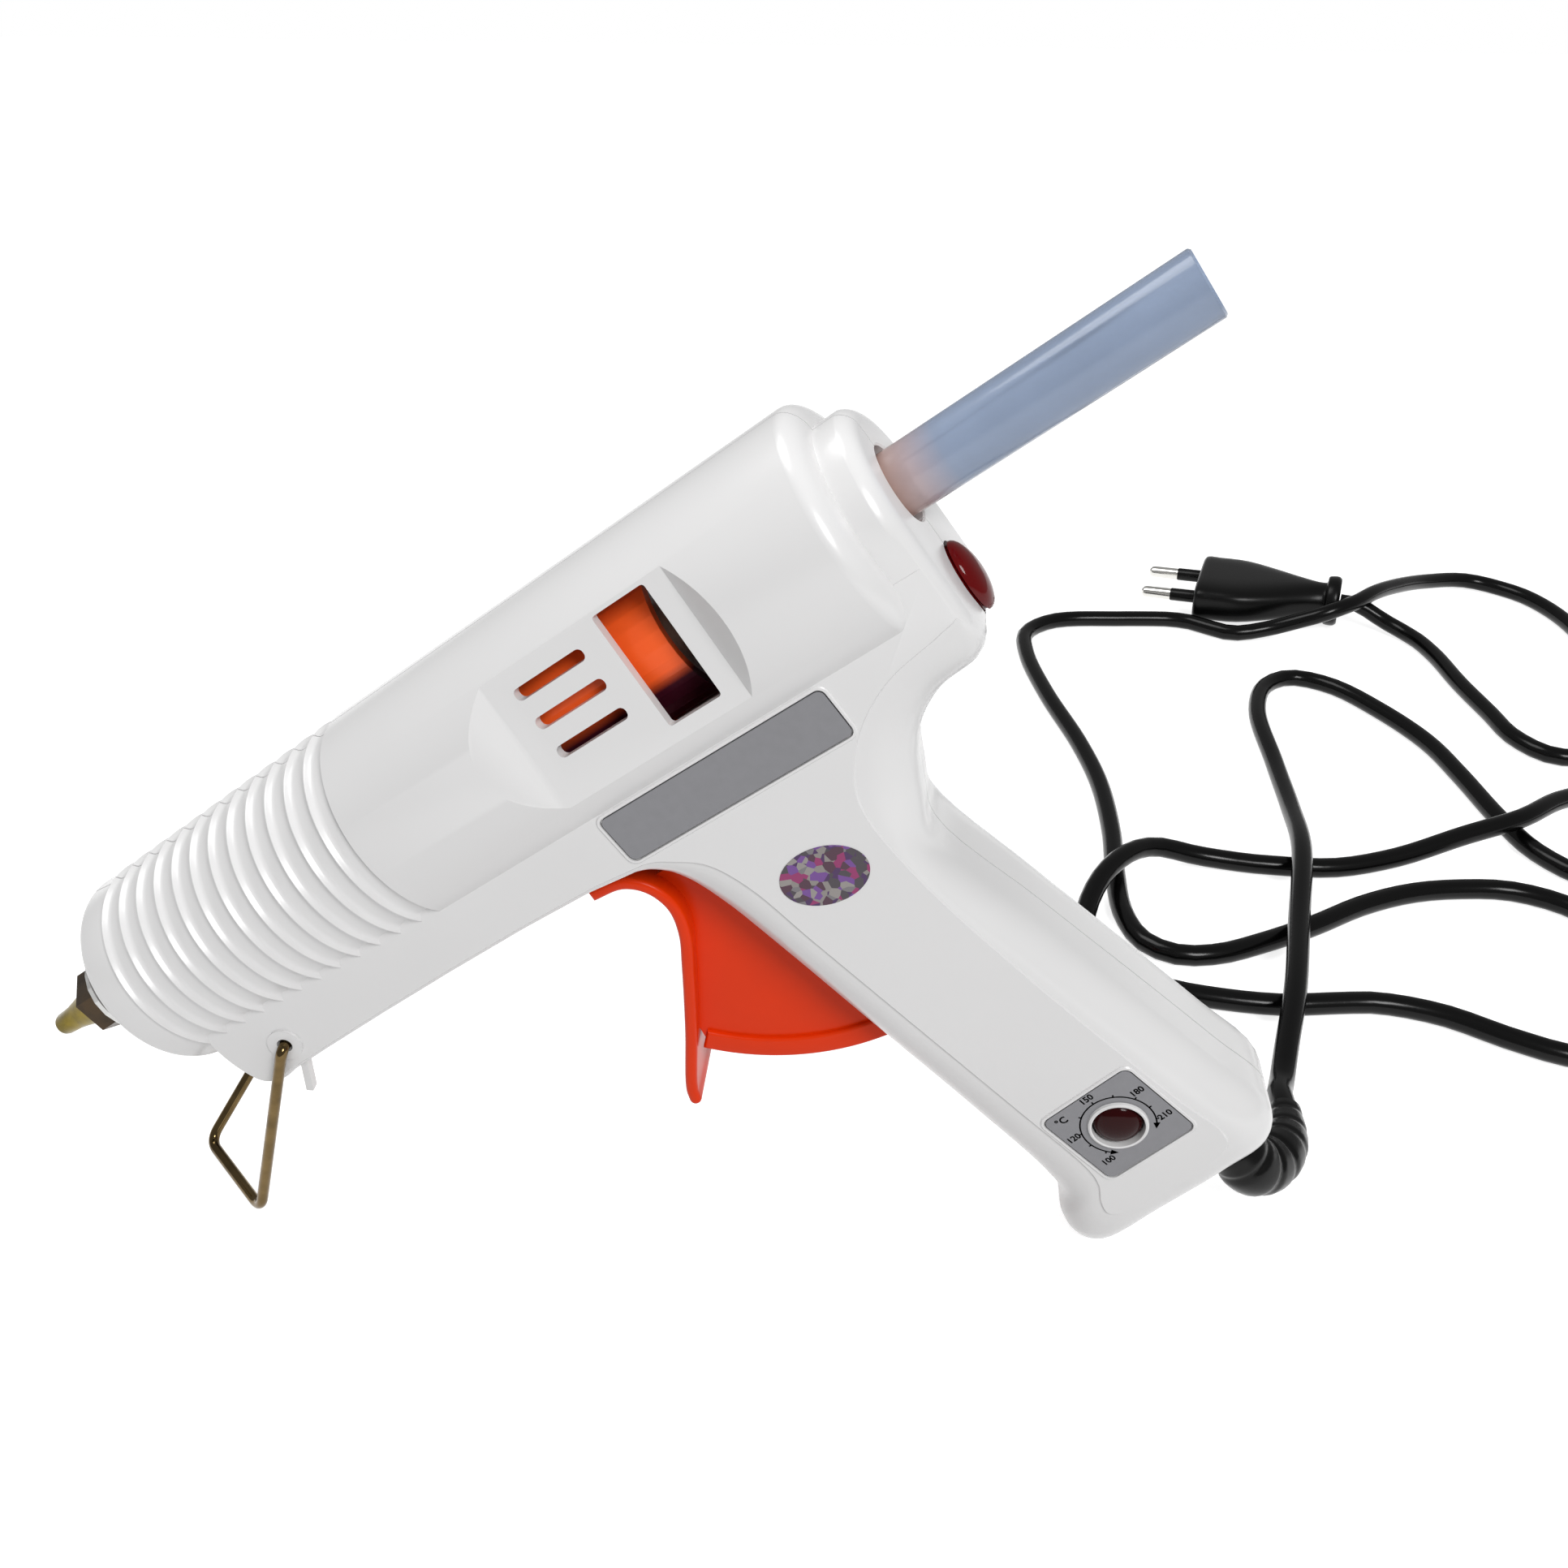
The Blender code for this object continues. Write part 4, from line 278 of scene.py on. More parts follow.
# The plug is moulded on the flex in one flat wedge that narrows to a round collar. It holds two round
# steel pins with black sleeves on the half next to the plug.
PLUG_FACE = Vector((0.152756, 0.2944, 0.00715))
PLUG_AHEAD = Vector((-0.963773, 0.263658, -0.040323)).normalized()
PLUG_SECTIONS = (
    (0.0000, 0.0168, 0.0060), (0.0009, 0.01765, 0.00685), (0.0060, 0.01765, 0.00685),
    (0.0155, 0.0174, 0.00685), (0.0262, 0.0134, 0.0066), (0.0358, 0.0088, 0.0063),
    (0.0425, 0.0063, 0.0060), (0.0436, 0.0064, 0.0062), (0.0440, 0.0082, 0.0082),
    (0.0450, 0.0086, 0.0086), (0.0474, 0.0086, 0.0086), (0.0484, 0.0078, 0.0078),
)
PLUG_SIDES = 64
PLUG_SQUARENESS = 2.2
ROUND_FROM = 0.040
ROUND_OVER = 0.030
PIN_OFFSET = 0.0093
PIN_RADIUS = 0.0020
PIN_ROOT = 0.0040
PIN_LENGTH = 0.0190
PIN_TIP = ((0.0018, 1.0), (0.0008, 0.86), (0.0002, 0.55), (0.0, 0.0))
SLEEVE_LENGTH = 0.0088
SLEEVE_ROOT = 0.0010
SLEEVE_TAPER = 0.0004
SLEEVE_WALL = 0.0002
SLEEVE_GAP = 0.00002


def skin_over(name, rings):
    """a closed skin over rings of equal count, with flat ends"""
    bm = bmesh.new()
    rows = [[bm.verts.new(point) for point in ring] for ring in rings]
    for low, high in zip(rows, rows[1:]):
        for i in range(len(low)):
            j = (i + 1) % len(low)
            bm.faces.new((low[i], low[j], high[j], high[i]))
    caps = [bm.faces.new(rows[0]), bm.faces.new(rows[-1])]
    bm.normal_update()
    bmesh.ops.triangulate(bm, faces=caps)
    bmesh.ops.recalc_face_normals(bm, faces=bm.faces)
    mesh = bpy.data.meshes.new(name)
    bm.to_mesh(mesh)
    bm.free()
    return mesh


def round_turn(count):
    """the angles of equal steps round a full turn"""
    return [math.tau * i / count for i in range(count)]


def lathed(name, profile, sides, drop=0.0):
    """a profile of (along, radius) points turned about the stick's axis, lowered by drop"""
    bm = bmesh.new()
    rows = []
    for along, radius in profile:
        if radius == 0:
            rows.append([bm.verts.new((along, 0, -drop))])
            continue
        rows.append([bm.verts.new((along, radius * math.sin(angle), radius * math.cos(angle) - drop))
                     for angle in round_turn(sides)])
    pairs = list(zip(rows, rows[1:]))
    if profile[0][1]:
        pairs.append((rows[-1], rows[0]))
    for low, high in pairs:
        for i in range(sides):
            j = (i + 1) % sides
            ring = [low[i % len(low)], low[j % len(low)], high[j % len(high)], high[i % len(high)]]
            bm.faces.new(list(dict.fromkeys(ring)))
    bmesh.ops.recalc_face_normals(bm, faces=bm.faces)
    mesh = bpy.data.meshes.new(name)
    bm.to_mesh(mesh)
    bm.free()
    return mesh


def fitted(name, mesh, place, material, body, slot, *nodes, sharp=30):
    """a finished piece in its place, riding on its body, for its solids where it has some"""
    mesh.transform(place)
    mesh.materials.clear()
    mesh.materials.append(material)
    mesh.shade_smooth()
    mesh.set_sharp_from_angle(angle=math.radians(sharp))
    piece = placed(name, mesh)
    if nodes:
        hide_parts(*nodes)
    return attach(piece, body)


plug_across = Vector((0, 0, 1)).cross(PLUG_AHEAD).normalized()
plug_up = PLUG_AHEAD.cross(plug_across)
plug_place = set_by_axes(PLUG_AHEAD, plug_across, plug_up, PLUG_FACE)
plug_rings = []
for back_by, half_width, half_height in smooth_line(PLUG_SECTIONS, 3):
    squareness = 2 + PLUG_SQUARENESS * max(0.0, min(1.0, (ROUND_FROM - back_by) / ROUND_OVER))
    ring = []
    for angle in round_turn(PLUG_SIDES):
        c = math.cos(angle)
        s = math.sin(angle)
        ring.append((-back_by, half_width * math.copysign(abs(c) ** (2 / squareness), c),
                     half_height * math.copysign(abs(s) ** (2 / squareness), s)))
    plug_rings.append(ring)
plug_black = moulded("plug_black", RUBBER_BLACK, 0.3, grain_size=0.0009, Specular_IOR_Level=0.2)
fitted("plug_wedge", skin_over("plug_wedge", plug_rings), plug_place, plug_black, "housing", "black_rubber",
       "plug_body", sharp=50)
pin_steel = moulded("pin_steel", (0.72, 0.71, 0.68), 0.14, Metallic=1.0)
for number, side in ((1, -1), (2, 1)):
    pin_place = plug_place @ Matrix.Translation((0, side * PIN_OFFSET, 0))
    pin_line = [(-PIN_ROOT, 0), (-PIN_ROOT, PIN_RADIUS)]
    pin_line += [(PIN_LENGTH - back_by, PIN_RADIUS * share) for back_by, share in PIN_TIP]
    pin = lathed("pin", pin_line, 40)
    fitted(f"round_pin_{number}", pin, pin_place, pin_steel, "housing", "steel", f"plug_pin_{number}")
    bore = PIN_RADIUS + SLEEVE_GAP
    sleeve = lathed("sleeve", [
        (-SLEEVE_ROOT, bore), (-SLEEVE_ROOT, bore + SLEEVE_WALL),
        (SLEEVE_LENGTH - SLEEVE_TAPER, bore + SLEEVE_WALL), (SLEEVE_LENGTH, bore)], 40)
    fitted(f"pin_sleeve_{number}", sleeve, pin_place, plug_black, "housing", "black_plastic")

# The housing is two thin shells of pearl white plastic, parted on the middle plane: a ribbed barrel, a keel
# with an ear for the stand, a hump behind and a handle. Each is one moulding. They are screwed together.
TILT = math.radians(36.4)
GAP = 0.0003
WELD = 0.000002
OVERRUN = 0.006
RIM = 0.0315
BARREL_LENGTH = 0.1749
BARREL_RADIUS = 0.0209
BARREL_DROP = 0.0012
RIM_TAPER = 0.0009
RIM_ROUND = 0.0016
RIB_COUNT = 12
RIB_PITCH = 0.00505
RIB_START = 0.0075
RIB_FALL = 0.0015
RIB_DEPTH = 0.0010
RIB_LINE = (
    (-0.32, 0.75), (-0.19, 0.22), (-0.06, 0.0), (0.06, 0.0), (0.2, 0.2),
    (0.38, 0.6), (0.62, 0.88), (1.0, 1.0), (1.9, 1.0), (2.7, 0.92),
)
COLLAR_RADIUS = 0.0156
COLLAR_LENGTH = 0.0064
SHOULDER_LENGTH = 0.0036
COLLAR_ROUND = 0.0036
REAR = RIM + BARREL_LENGTH
HALF_WIDTH = 0.0154
EDGE_ROUND = 0.0085
WALL = 0.0024
PANEL_EDGE = 0.00028
PANEL_RISE = 0.0004
KEEL_DROP = 0.0275
EAR_LENGTH = 0.0205
HUMP_DEPTH = 0.0215
HUMP_DROP = 0.028
HANDLE_S = RIM + 0.70 * BARREL_LENGTH
HANDLE_DEPTH = 0.040
HANDLE_LENGTH = 0.1215
HANDLE_SWEEP = 0.0245
PIVOT = Vector((RIM + 0.670 * BARREL_LENGTH, -0.0396))
FLAT_EAR = ((0.44, 0.29), (0.346, 0.58), (0.38, 0.847), (0.463, 0.978), (0.615, 1.022), (0.80, 1.0))
FLAT_HANDLE = (
    (-0.46, 0.0), (-0.341, 0.022), (-0.258, 0.05), (-0.219, 0.109), (-0.231, 0.235), (-0.248, 0.433),
    (-0.266, 0.658), (-0.284, 0.827), (-0.317, 0.864), (-0.384, 0.897), (-0.41, 0.926), (-0.335, 0.938),
    (-0.09, 0.926), (0.196, 0.908), (0.309, 0.888), (0.343, 0.856), (0.326, 0.778), (0.319, 0.642),
    (0.32, 0.425), (0.354, 0.218),
)
FLAT_HUMP = (
    (1.526, 1.357), (1.344, 1.089), (1.088, 0.9), (0.74, 0.761), (0.251, 0.686), (0.065, 0.643),
    (0.009, 0.536), (0.0, 0.286),
)
EDGE_EAR = ((0.415, 0.29), (0.327, 0.58), (0.361, 0.873), (0.463, 1.025), (0.639, 1.073), (0.854, 1.06))
EDGE_HANDLE = (
    (-0.607, 0.015), (-0.507, 0.035), (-0.468, 0.07), (-0.448, 0.132), (-0.451, 0.235), (-0.475, 0.433),
    (-0.501, 0.658), (-0.534, 0.827), (-0.579, 0.893), (-0.68, 0.934), (-0.727, 0.984), (-0.682, 1.016),
    (-0.31, 1.0), (0.157, 0.972), (0.406, 0.954), (0.51, 0.909), (0.506, 0.794), (0.492, 0.642),
    (0.465, 0.425), (0.449, 0.218),
)
EDGE_HUMP = (
    (1.214, 1.643), (1.042, 1.393), (0.833, 1.189), (0.53, 1.057), (0.181, 1.014), (0.037, 0.914),
    (0.0, 0.643), (0.0, 0.286),
)
pin_low, pin_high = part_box("trigger_pin")
gun_turn = Matrix.Rotation(-TILT, 4, "Y")
gun_place = Matrix.Translation((pin_low + pin_high) / 2 - gun_turn @ Vector((PIVOT.x, 0, PIVOT.y))) @ gun_turn


def on_handle(across, down):
    """a place on the handle, in shares of its depth and of its length"""
    return (HANDLE_S + across * HANDLE_DEPTH + down * HANDLE_SWEEP, -KEEL_DROP - down * HANDLE_LENGTH)


def outline_through(ear, handle, hump, steps):
    """the body's outline through its ear, its handle and its hump, along the stick and up from it"""
    points = [(RIM + a * EAR_LENGTH, -d * KEEL_DROP) for a, d in ear]
    points += [on_handle(a, d) for a, d in handle]
    points += [(REAR - a * HUMP_DEPTH, -d * HUMP_DROP) for a, d in hump]
    return smooth_line(points, steps)


def drawn_in(points, depth):
    """a closed outline moved inwards by the wall's thickness"""
    area = sum(a.x * b.y - b.x * a.y for a, b in zip(points, points[1:] + points[:1]))
    side = 1 if area > 0 else -1
    moved = []
    for before, here, after in zip(points[-1:] + points[:-1], points, points[1:] + points[:1]):
        first = (here - before).normalized()
        second = (after - here).normalized()
        turn = (first + second).normalized()
        normal = Vector((-turn.y, turn.x)) * side
        moved.append(here + normal * depth / max(0.6, math.sqrt((1 + first.dot(second)) / 2)))
    return moved


def plate_of(name, outline, near, far):
    """a flat shape cut from its outline, from near to far across the gun"""
    return skin_over(name, [[(p[0], y, p[1]) for p in outline] for y in (near, far)])


def ring_of(place, radius, sides):
    """a round outline"""
    return [(place[0] + radius * math.cos(a), place[1] + radius * math.sin(a)) for a in round_turn(sides)]


def turned_at(place, turn, along, up):
    """a point beside a place, turned about it"""
    return (place[0] + along * math.cos(turn) - up * math.sin(turn),
            place[1] + along * math.sin(turn) + up * math.cos(turn))


def round_cornered(width, height, corner, steps=6, place=(0, 0), turn=0.0):
    """the outline of a plate or slot with round corners, turned about its middle"""
    points = []
    for quarter in range(4):
        side = (1, -1, -1, 1)[quarter] * (width / 2 - corner)
        rise = (1, 1, -1, -1)[quarter] * (height / 2 - corner)
        for i in range(steps + 1):
            angle = math.pi / 2 * (quarter + i / steps)
            along = side + corner * math.cos(angle)
            points.append(turned_at(place, turn, along, rise + corner * math.sin(angle)))
    return points


def moulded_together(name, kind, base, others):
    """one mesh: the base joined with the other meshes, or cut by them"""
    body = placed(name, base)
    tools = []
    for other in others:
        tool = placed("tool", other)
        change = body.modifiers.new("change", "BOOLEAN")
        change.operation = kind
        change.solver = "EXACT"
        change.object = tool
        tools.append(tool)
    made = bpy.data.meshes.new_from_object(body.evaluated_get(bpy.context.evaluated_depsgraph_get()))
    for item in tools + [body]:
        bpy.data.objects.remove(item)
    bm = bmesh.new()
    bm.from_mesh(made)
    bmesh.ops.remove_doubles(bm, verts=bm.verts, dist=WELD)
    bmesh.ops.dissolve_degenerate(bm, edges=bm.edges, dist=WELD)
    bm.to_mesh(made)
    bm.free()
    return made


def quarter_turn(steps):
    """the angles of equal steps from none to a right angle"""
    return [math.pi / 2 * i / steps for i in range(steps + 1)]


def body_block(name, depth, levels, steps):
    """the body's block with rounded edges and a slightly raised flat side, smaller by depth all round"""
    flat = outline_through(FLAT_EAR, FLAT_HANDLE, FLAT_HUMP, steps)
    edge = outline_through(EDGE_EAR, EDGE_HANDLE, EDGE_HUMP, steps)
    if depth:
        flat = drawn_in(flat, depth)
        edge = drawn_in(edge, depth)
    panel = drawn_in(flat, PANEL_EDGE)
    rings = []
    for side in (-1, 1):
        rows = []
        if not depth:
            rows.append([(p.x, side * HALF_WIDTH, p.y) for p in panel])
        for angle in quarter_turn(levels):
            y = side * (HALF_WIDTH - PANEL_RISE - EDGE_ROUND + (EDGE_ROUND - depth) * math.cos(angle))
            rows.append([(f.x + (e.x - f.x) * math.sin(angle), y, f.y + (e.y - f.y) * math.sin(angle))
                         for f, e in zip(flat, edge)])
        rings += rows if side < 0 else rows[::-1]
    return skin_over(name, rings)


def barrel_skin():
    """the barrel's profile: a rounded rim, the ribs, a plain stretch, the shoulder and the rear collar"""
    front = BARREL_RADIUS - RIM_TAPER
    ribs_end = RIB_START + RIB_COUNT * RIB_PITCH
    points = [(RIM, 0), (RIM, front - RIM_ROUND)]
    for angle in quarter_turn(6)[1:]:
        points.append((RIM + RIM_ROUND * (1 - math.cos(angle)), front - RIM_ROUND * (1 - math.sin(angle))))
    for k in range(RIB_COUNT):
        crest = RIM + RIB_START + k * RIB_PITCH
        radius = front + RIM_TAPER * (crest - RIM) / ribs_end
        for along, fall in RIB_LINE:
            points.append((crest + along * RIB_FALL, radius - fall * RIB_DEPTH))
    points.append((points[-1][0] + GAP, BARREL_RADIUS))
    shoulder = REAR - COLLAR_LENGTH - SHOULDER_LENGTH
    points.append((shoulder, BARREL_RADIUS))
    for angle in quarter_turn(8)[1:]:
        points.append((shoulder + SHOULDER_LENGTH * math.sin(angle),
                       BARREL_RADIUS - (BARREL_RADIUS - COLLAR_RADIUS) * (1 - math.cos(angle))))
    points.append((REAR - COLLAR_ROUND, COLLAR_RADIUS))
    for angle in quarter_turn(8)[1:]:
        points.append((REAR - COLLAR_ROUND * (1 - math.sin(angle)),
                       COLLAR_RADIUS - COLLAR_ROUND * (1 - math.cos(angle))))
    points[-1] = (REAR, points[-1][1])
    points.append((REAR, 0))
    return points


# Sunk pads on both sides of the barrel carry the window and the three slots, moulded in one with the shells.
# Behind the barrel the shells close in a block with rounded corners, which the glue stick enters.
PAD_DEPTH = 0.0169
PAD_WALL = 0.0022
PAD_CUT_PAST = 0.002
PAD_TURN = math.radians(10)
PAD_FRONT = RIM + 0.591 * BARREL_LENGTH
PAD_REAR = PAD_FRONT + 0.0374
PAD_FRONT_RAMP = 0.0078
PAD_REAR_RAMP = 0.0049
SLOT_WIDTH = 0.0022
SLOT_LENGTH = 0.0144
SLOT_CORNER = 0.0010
SLOT_AHEAD = 0.0041
SLOT_RISE = 0.0020
SLOT_PITCH = 0.0057
WINDOW_LENGTH = 0.0104
WINDOW_HEIGHT = 0.0211
WINDOW_CORNER = 0.0006
WINDOW_BEHIND = 0.0039
WINDOW_RISE = 0.0010


def pad_prism(side, depth, front, rear):
    """what is taken off outside a plane at that depth from the axis, with a ramp at each end"""
    reach = BARREL_RADIUS + OVERRUN
    slope = (reach - depth) / (BARREL_RADIUS - depth)
    outline = [(front, depth), (rear, depth), (rear + PAD_REAR_RAMP * slope, reach),
               (front - PAD_FRONT_RAMP * slope, reach)]
    turn = Matrix.Rotation(side * PAD_TURN, 3, "X")
    rings = []
    for height in (-BARREL_RADIUS, BARREL_RADIUS):
        rings.append([turn @ Vector((s, side * d, height)) - Vector((0, 0, BARREL_DROP)) for s, d in outline])
    return skin_over("pad", rings)


def pad_opening(side, outline):
    """an opening through the pad's wall, its outline given along and up the pad"""
    turn = Matrix.Rotation(side * PAD_TURN, 3, "X")
    rings = []
    for d in (PAD_DEPTH - PAD_WALL - PAD_CUT_PAST, PAD_DEPTH + OVERRUN):
        rings.append([turn @ Vector((s, side * d, v)) - Vector((0, 0, BARREL_DROP)) for s, v in outline])
    return skin_over("opening", rings)


BORE = BARREL_RADIUS - WALL
bore_end = REAR - COLLAR_LENGTH - SHOULDER_LENGTH - WALL
bore_profile = [
    (RIM + WALL, 0), (RIM + WALL, BORE), (bore_end, BORE), (bore_end + SHOULDER_LENGTH, COLLAR_RADIUS - WALL),
    (REAR - WALL, COLLAR_RADIUS - WALL), (REAR - WALL, 0)]
BLOCK_RADIUS = 0.01565
BLOCK_FOOT = -0.0160
BLOCK_OVERLAP = 0.004
BLOCK_PROUD = 0.0005
SLIVER = 0.0002
ROOM_FOOT = -0.060
ROOM_TOP = 0.03
ROOM_HALF = 0.03
CUTTER_FOOT = -0.070
CUTTER_LEAD = 0.003


def rear_section(along, radius, foot, foot_reach):
    """one section of the block behind the barrel: an arch on two legs"""
    angles = [math.pi * i / 48 for i in range(49)]
    arch = [(along, radius * math.cos(a), -BARREL_DROP + radius * math.sin(a)) for a in angles]
    return arch + [(along, -foot_reach, foot), (along, foot_reach, foot)]


rear_block = skin_over("rear_block", [
    rear_section(along, BLOCK_RADIUS, BLOCK_FOOT, HALF_WIDTH - PANEL_RISE - SLIVER)
    for along in (REAR - COLLAR_LENGTH - SHOULDER_LENGTH - BLOCK_OVERLAP, REAR + BLOCK_PROUD)])
room_front = REAR - COLLAR_ROUND + SLIVER
rear_room = plate_of("rear_room", [
    (room_front, ROOM_FOOT), (REAR + OVERRUN, ROOM_FOOT), (REAR + OVERRUN, ROOM_TOP), (room_front, ROOM_TOP)],
    -ROOM_HALF, ROOM_HALF)
rounded = []
for i in range(-1, 9):
    angle = math.pi / 2 * max(i, 0) / 8
    drawn = COLLAR_ROUND * (1 - math.cos(angle)) - SLIVER
    along = REAR - SLIVER / 2 - COLLAR_ROUND * (1 - math.sin(angle))
    if i < 0:
        along -= CUTTER_LEAD
    rounded.append(rear_section(along, BLOCK_RADIUS - drawn, CUTTER_FOOT, HALF_WIDTH - drawn))
rear_corners = moulded_together("corners", "DIFFERENCE", rear_room, [skin_over("rounded", rounded)])
outer = moulded_together("outer", "UNION", body_block("body", 0, 9, 6),
                         [lathed("barrel", barrel_skin(), 144, BARREL_DROP), rear_block])
outer = moulded_together("outer", "DIFFERENCE", outer, [rear_corners])
kept = [pad_prism(side, PAD_DEPTH - PAD_WALL, PAD_FRONT - PAD_WALL, PAD_REAR + PAD_WALL) for side in (-1, 1)]
hollow = moulded_together("hollow", "UNION", body_block("hollow", WALL, 4, 3),
                          [lathed("bore", bore_profile, 72, BARREL_DROP)])
hollow = moulded_together("hollow", "DIFFERENCE", hollow, kept)
shell = moulded_together("shell", "DIFFERENCE", outer, [hollow])

STICK_RADIUS = 0.0056
MOUTH_RADIUS = 0.0128
TRIGGER_SLOT_HALF = 0.0063
TRIGGER_REACH = 0.0482
SLOT_REACH = TRIGGER_REACH + 0.002
SLOT_FROM = math.radians(286)
SLOT_TO = math.radians(221.5)
INLET_RADIUS = 0.0068
INLET_FLARE = 0.0004
INLET_DEPTH = 0.005
EYE_RADIUS = 0.0014
EYE_DEPTH = 0.0048
CORD_HOLE_RADIUS = 0.0039
inlet = lathed("inlet", [
    (REAR - INLET_DEPTH, 0), (REAR - INLET_DEPTH, INLET_RADIUS), (REAR - INLET_FLARE, INLET_RADIUS),
    (REAR, INLET_RADIUS + INLET_FLARE), (REAR + OVERRUN, INLET_RADIUS + INLET_FLARE),
    (REAR + OVERRUN, 0)], 64)
mouth = lathed("mouth", [
    (RIM - OVERRUN, 0), (RIM - OVERRUN, MOUTH_RADIUS + GAP), (RIM + 2 * WALL, MOUTH_RADIUS + GAP),
    (RIM + 2 * WALL, 0)], 96)
cuts = [inlet, mouth]
slot_front = RIM + 0.475 * BARREL_LENGTH
slot_line = [(slot_front, -KEEL_DROP + 2 * WALL), (PIVOT.x, -KEEL_DROP + 2 * WALL)]
for i in range(17):
    angle = SLOT_FROM + (SLOT_TO - SLOT_FROM) * i / 16
    slot_line.append((PIVOT.x + SLOT_REACH * math.cos(angle), PIVOT.y + SLOT_REACH * math.sin(angle)))
slot_line.append((slot_front, -KEEL_DROP - OVERRUN))
cuts.append(plate_of("trigger_slot", slot_line, -TRIGGER_SLOT_HALF, TRIGGER_SLOT_HALF))
STAND_PLACE = (RIM + 0.99 * EAR_LENGTH, -0.0222)
for side in (-1, 1):
    cuts.append(pad_prism(side, PAD_DEPTH, PAD_FRONT, PAD_REAR))
    window_place = (PAD_REAR - WINDOW_BEHIND - WINDOW_LENGTH / 2, WINDOW_RISE)
    window = round_cornered(WINDOW_LENGTH, WINDOW_HEIGHT, WINDOW_CORNER, 3, window_place)
    cuts.append(pad_opening(side, window))
    for k in range(3):
        slot_place = (PAD_FRONT + SLOT_AHEAD + SLOT_LENGTH / 2, SLOT_RISE + SLOT_PITCH * (1 - k))
        slot = round_cornered(SLOT_LENGTH, SLOT_WIDTH, SLOT_CORNER, 6, slot_place)
        cuts.append(pad_opening(side, slot))
    low, high = sorted((side * (HALF_WIDTH - EYE_DEPTH), side * (HALF_WIDTH + OVERRUN)))
    cuts.append(plate_of("stand_hole", ring_of(STAND_PLACE, EYE_RADIUS, 24), low, high))
LENS_DROP = 0.0190
LENS_HEIGHT = 0.0131
LENS_WIDTH = 0.0100
LENS_SIDES = 48


def lens_oval(along, share, spread=0.0):
    """one oval section of the lens or of its hole"""
    half_width = share * LENS_WIDTH / 2 + spread
    half_height = share * LENS_HEIGHT / 2 + spread
    return [(along, half_width * math.cos(a), -LENS_DROP + half_height * math.sin(a))
            for a in round_turn(LENS_SIDES)]


cuts.append(skin_over("lens_hole", [lens_oval(REAR - OVERRUN, 1, GAP), lens_oval(REAR + OVERRUN, 1, GAP)]))
BOOT_PLACE = on_handle(0.13, 0.975)
BOOT_DOWN = Vector((0.18, 0, -0.98)).normalized()
boot_side = BOOT_DOWN.cross(Vector((0, 1, 0)))
hole_rings = []
for reach in (-OVERRUN, 2 * OVERRUN):
    middle = Vector((BOOT_PLACE[0], 0, BOOT_PLACE[1])) + BOOT_DOWN * reach
    ring = []
    for angle in round_turn(32):
        way = math.cos(angle) * Vector((0, 1, 0)) + math.sin(angle) * boot_side
        ring.append(middle + CORD_HOLE_RADIUS * way)
    hole_rings.append(ring)
cuts.append(skin_over("cord_hole", hole_rings))
shell = moulded_together("shell", "DIFFERENCE", shell, cuts)

LABEL_LENGTH = 0.0456
LABEL_HEIGHT = 0.0094
LABEL_PLACE = (RIM + 0.592 * BARREL_LENGTH + LABEL_LENGTH / 2, -0.0211)
LABEL_CORNER = 0.0014
DIAL_PLACE = on_handle(0.022, 0.766)
DIAL_TURN = math.radians(10.9)
DIAL_WIDTH = 0.0199
DIAL_HEIGHT = 0.0191
DIAL_CORNER = 0.0017
PLATE_SINK = 0.0006
RIM_SPREAD = 0.0018
RIM_CORNER = 0.0005
KNOB_HOLE_RADIUS = 0.0052
KNOB_HOLE_DEPTH = 0.006
LIP_RISE = 0.0003
LIP_SOFTNESS = 0.0002
LIP_ROOT = 0.0005
BOSS_RADIUS = 0.0034
BOSS_ROOT = 0.0010
BOSS_RISE = 0.0005
EYE_DRILL_RADIUS = 0.0015
STOP_AHEAD = 0.0011
STOP_HALF = 0.0007
STOP_LENGTH = 0.010
STOP_FROM = 0.011
STOP_TO = 0.013
SQUARE = ((-1, -1), (1, -1), (1, 1), (-1, 1))
SCREW_SINK = 0.0040
SCREW_SEAT_RADIUS = 0.0030
SCREW_PLACES = (
    (RIM + 0.175 * BARREL_LENGTH, -0.745 * KEEL_DROP),
    (RIM + 0.415 * BARREL_LENGTH, 0.62 * BARREL_RADIUS),
    (RIM + 0.895 * BARREL_LENGTH, 0.55 * BARREL_RADIUS),
    on_handle(0.45, 0.005),
    on_handle(0.30, 0.285),
    on_handle(-0.03, 0.575),
)
stop_start = Vector((STAND_PLACE[0] - STOP_AHEAD, -KEEL_DROP + WALL / 2))
stop_way = Vector((-math.sin(TILT), -math.cos(TILT)))
stop_side = Vector((stop_way.y, -stop_way.x)) * STOP_HALF
stop_end = stop_start + stop_way * STOP_LENGTH
stop_line = [stop_start + stop_side, stop_end + stop_side, stop_end - stop_side, stop_start - stop_side]


def turned_across(name, place, profile, sides=48):
    """a profile of (across, radius) points turned about an axis across the gun"""
    mesh = lathed(name, profile, sides)
    mesh.transform(Matrix.Translation((place[0], 0, place[1])) @ Matrix.Rotation(math.pi / 2, 4, "Z"))
    return mesh


def round_bar(name, place, radius, start, end):
    """a round bar or a drill across the gun"""
    return turned_across(name, place, [(start, 0), (start, radius), (end, radius), (end, 0)])


def side_at(place):
    """how far the shell's outside lies from the middle plane there, on the barrel or on the flat side"""
    if place[1] > 0:
        return math.sqrt(BARREL_RADIUS ** 2 - (place[1] + BARREL_DROP) ** 2)
    return HALF_WIDTH


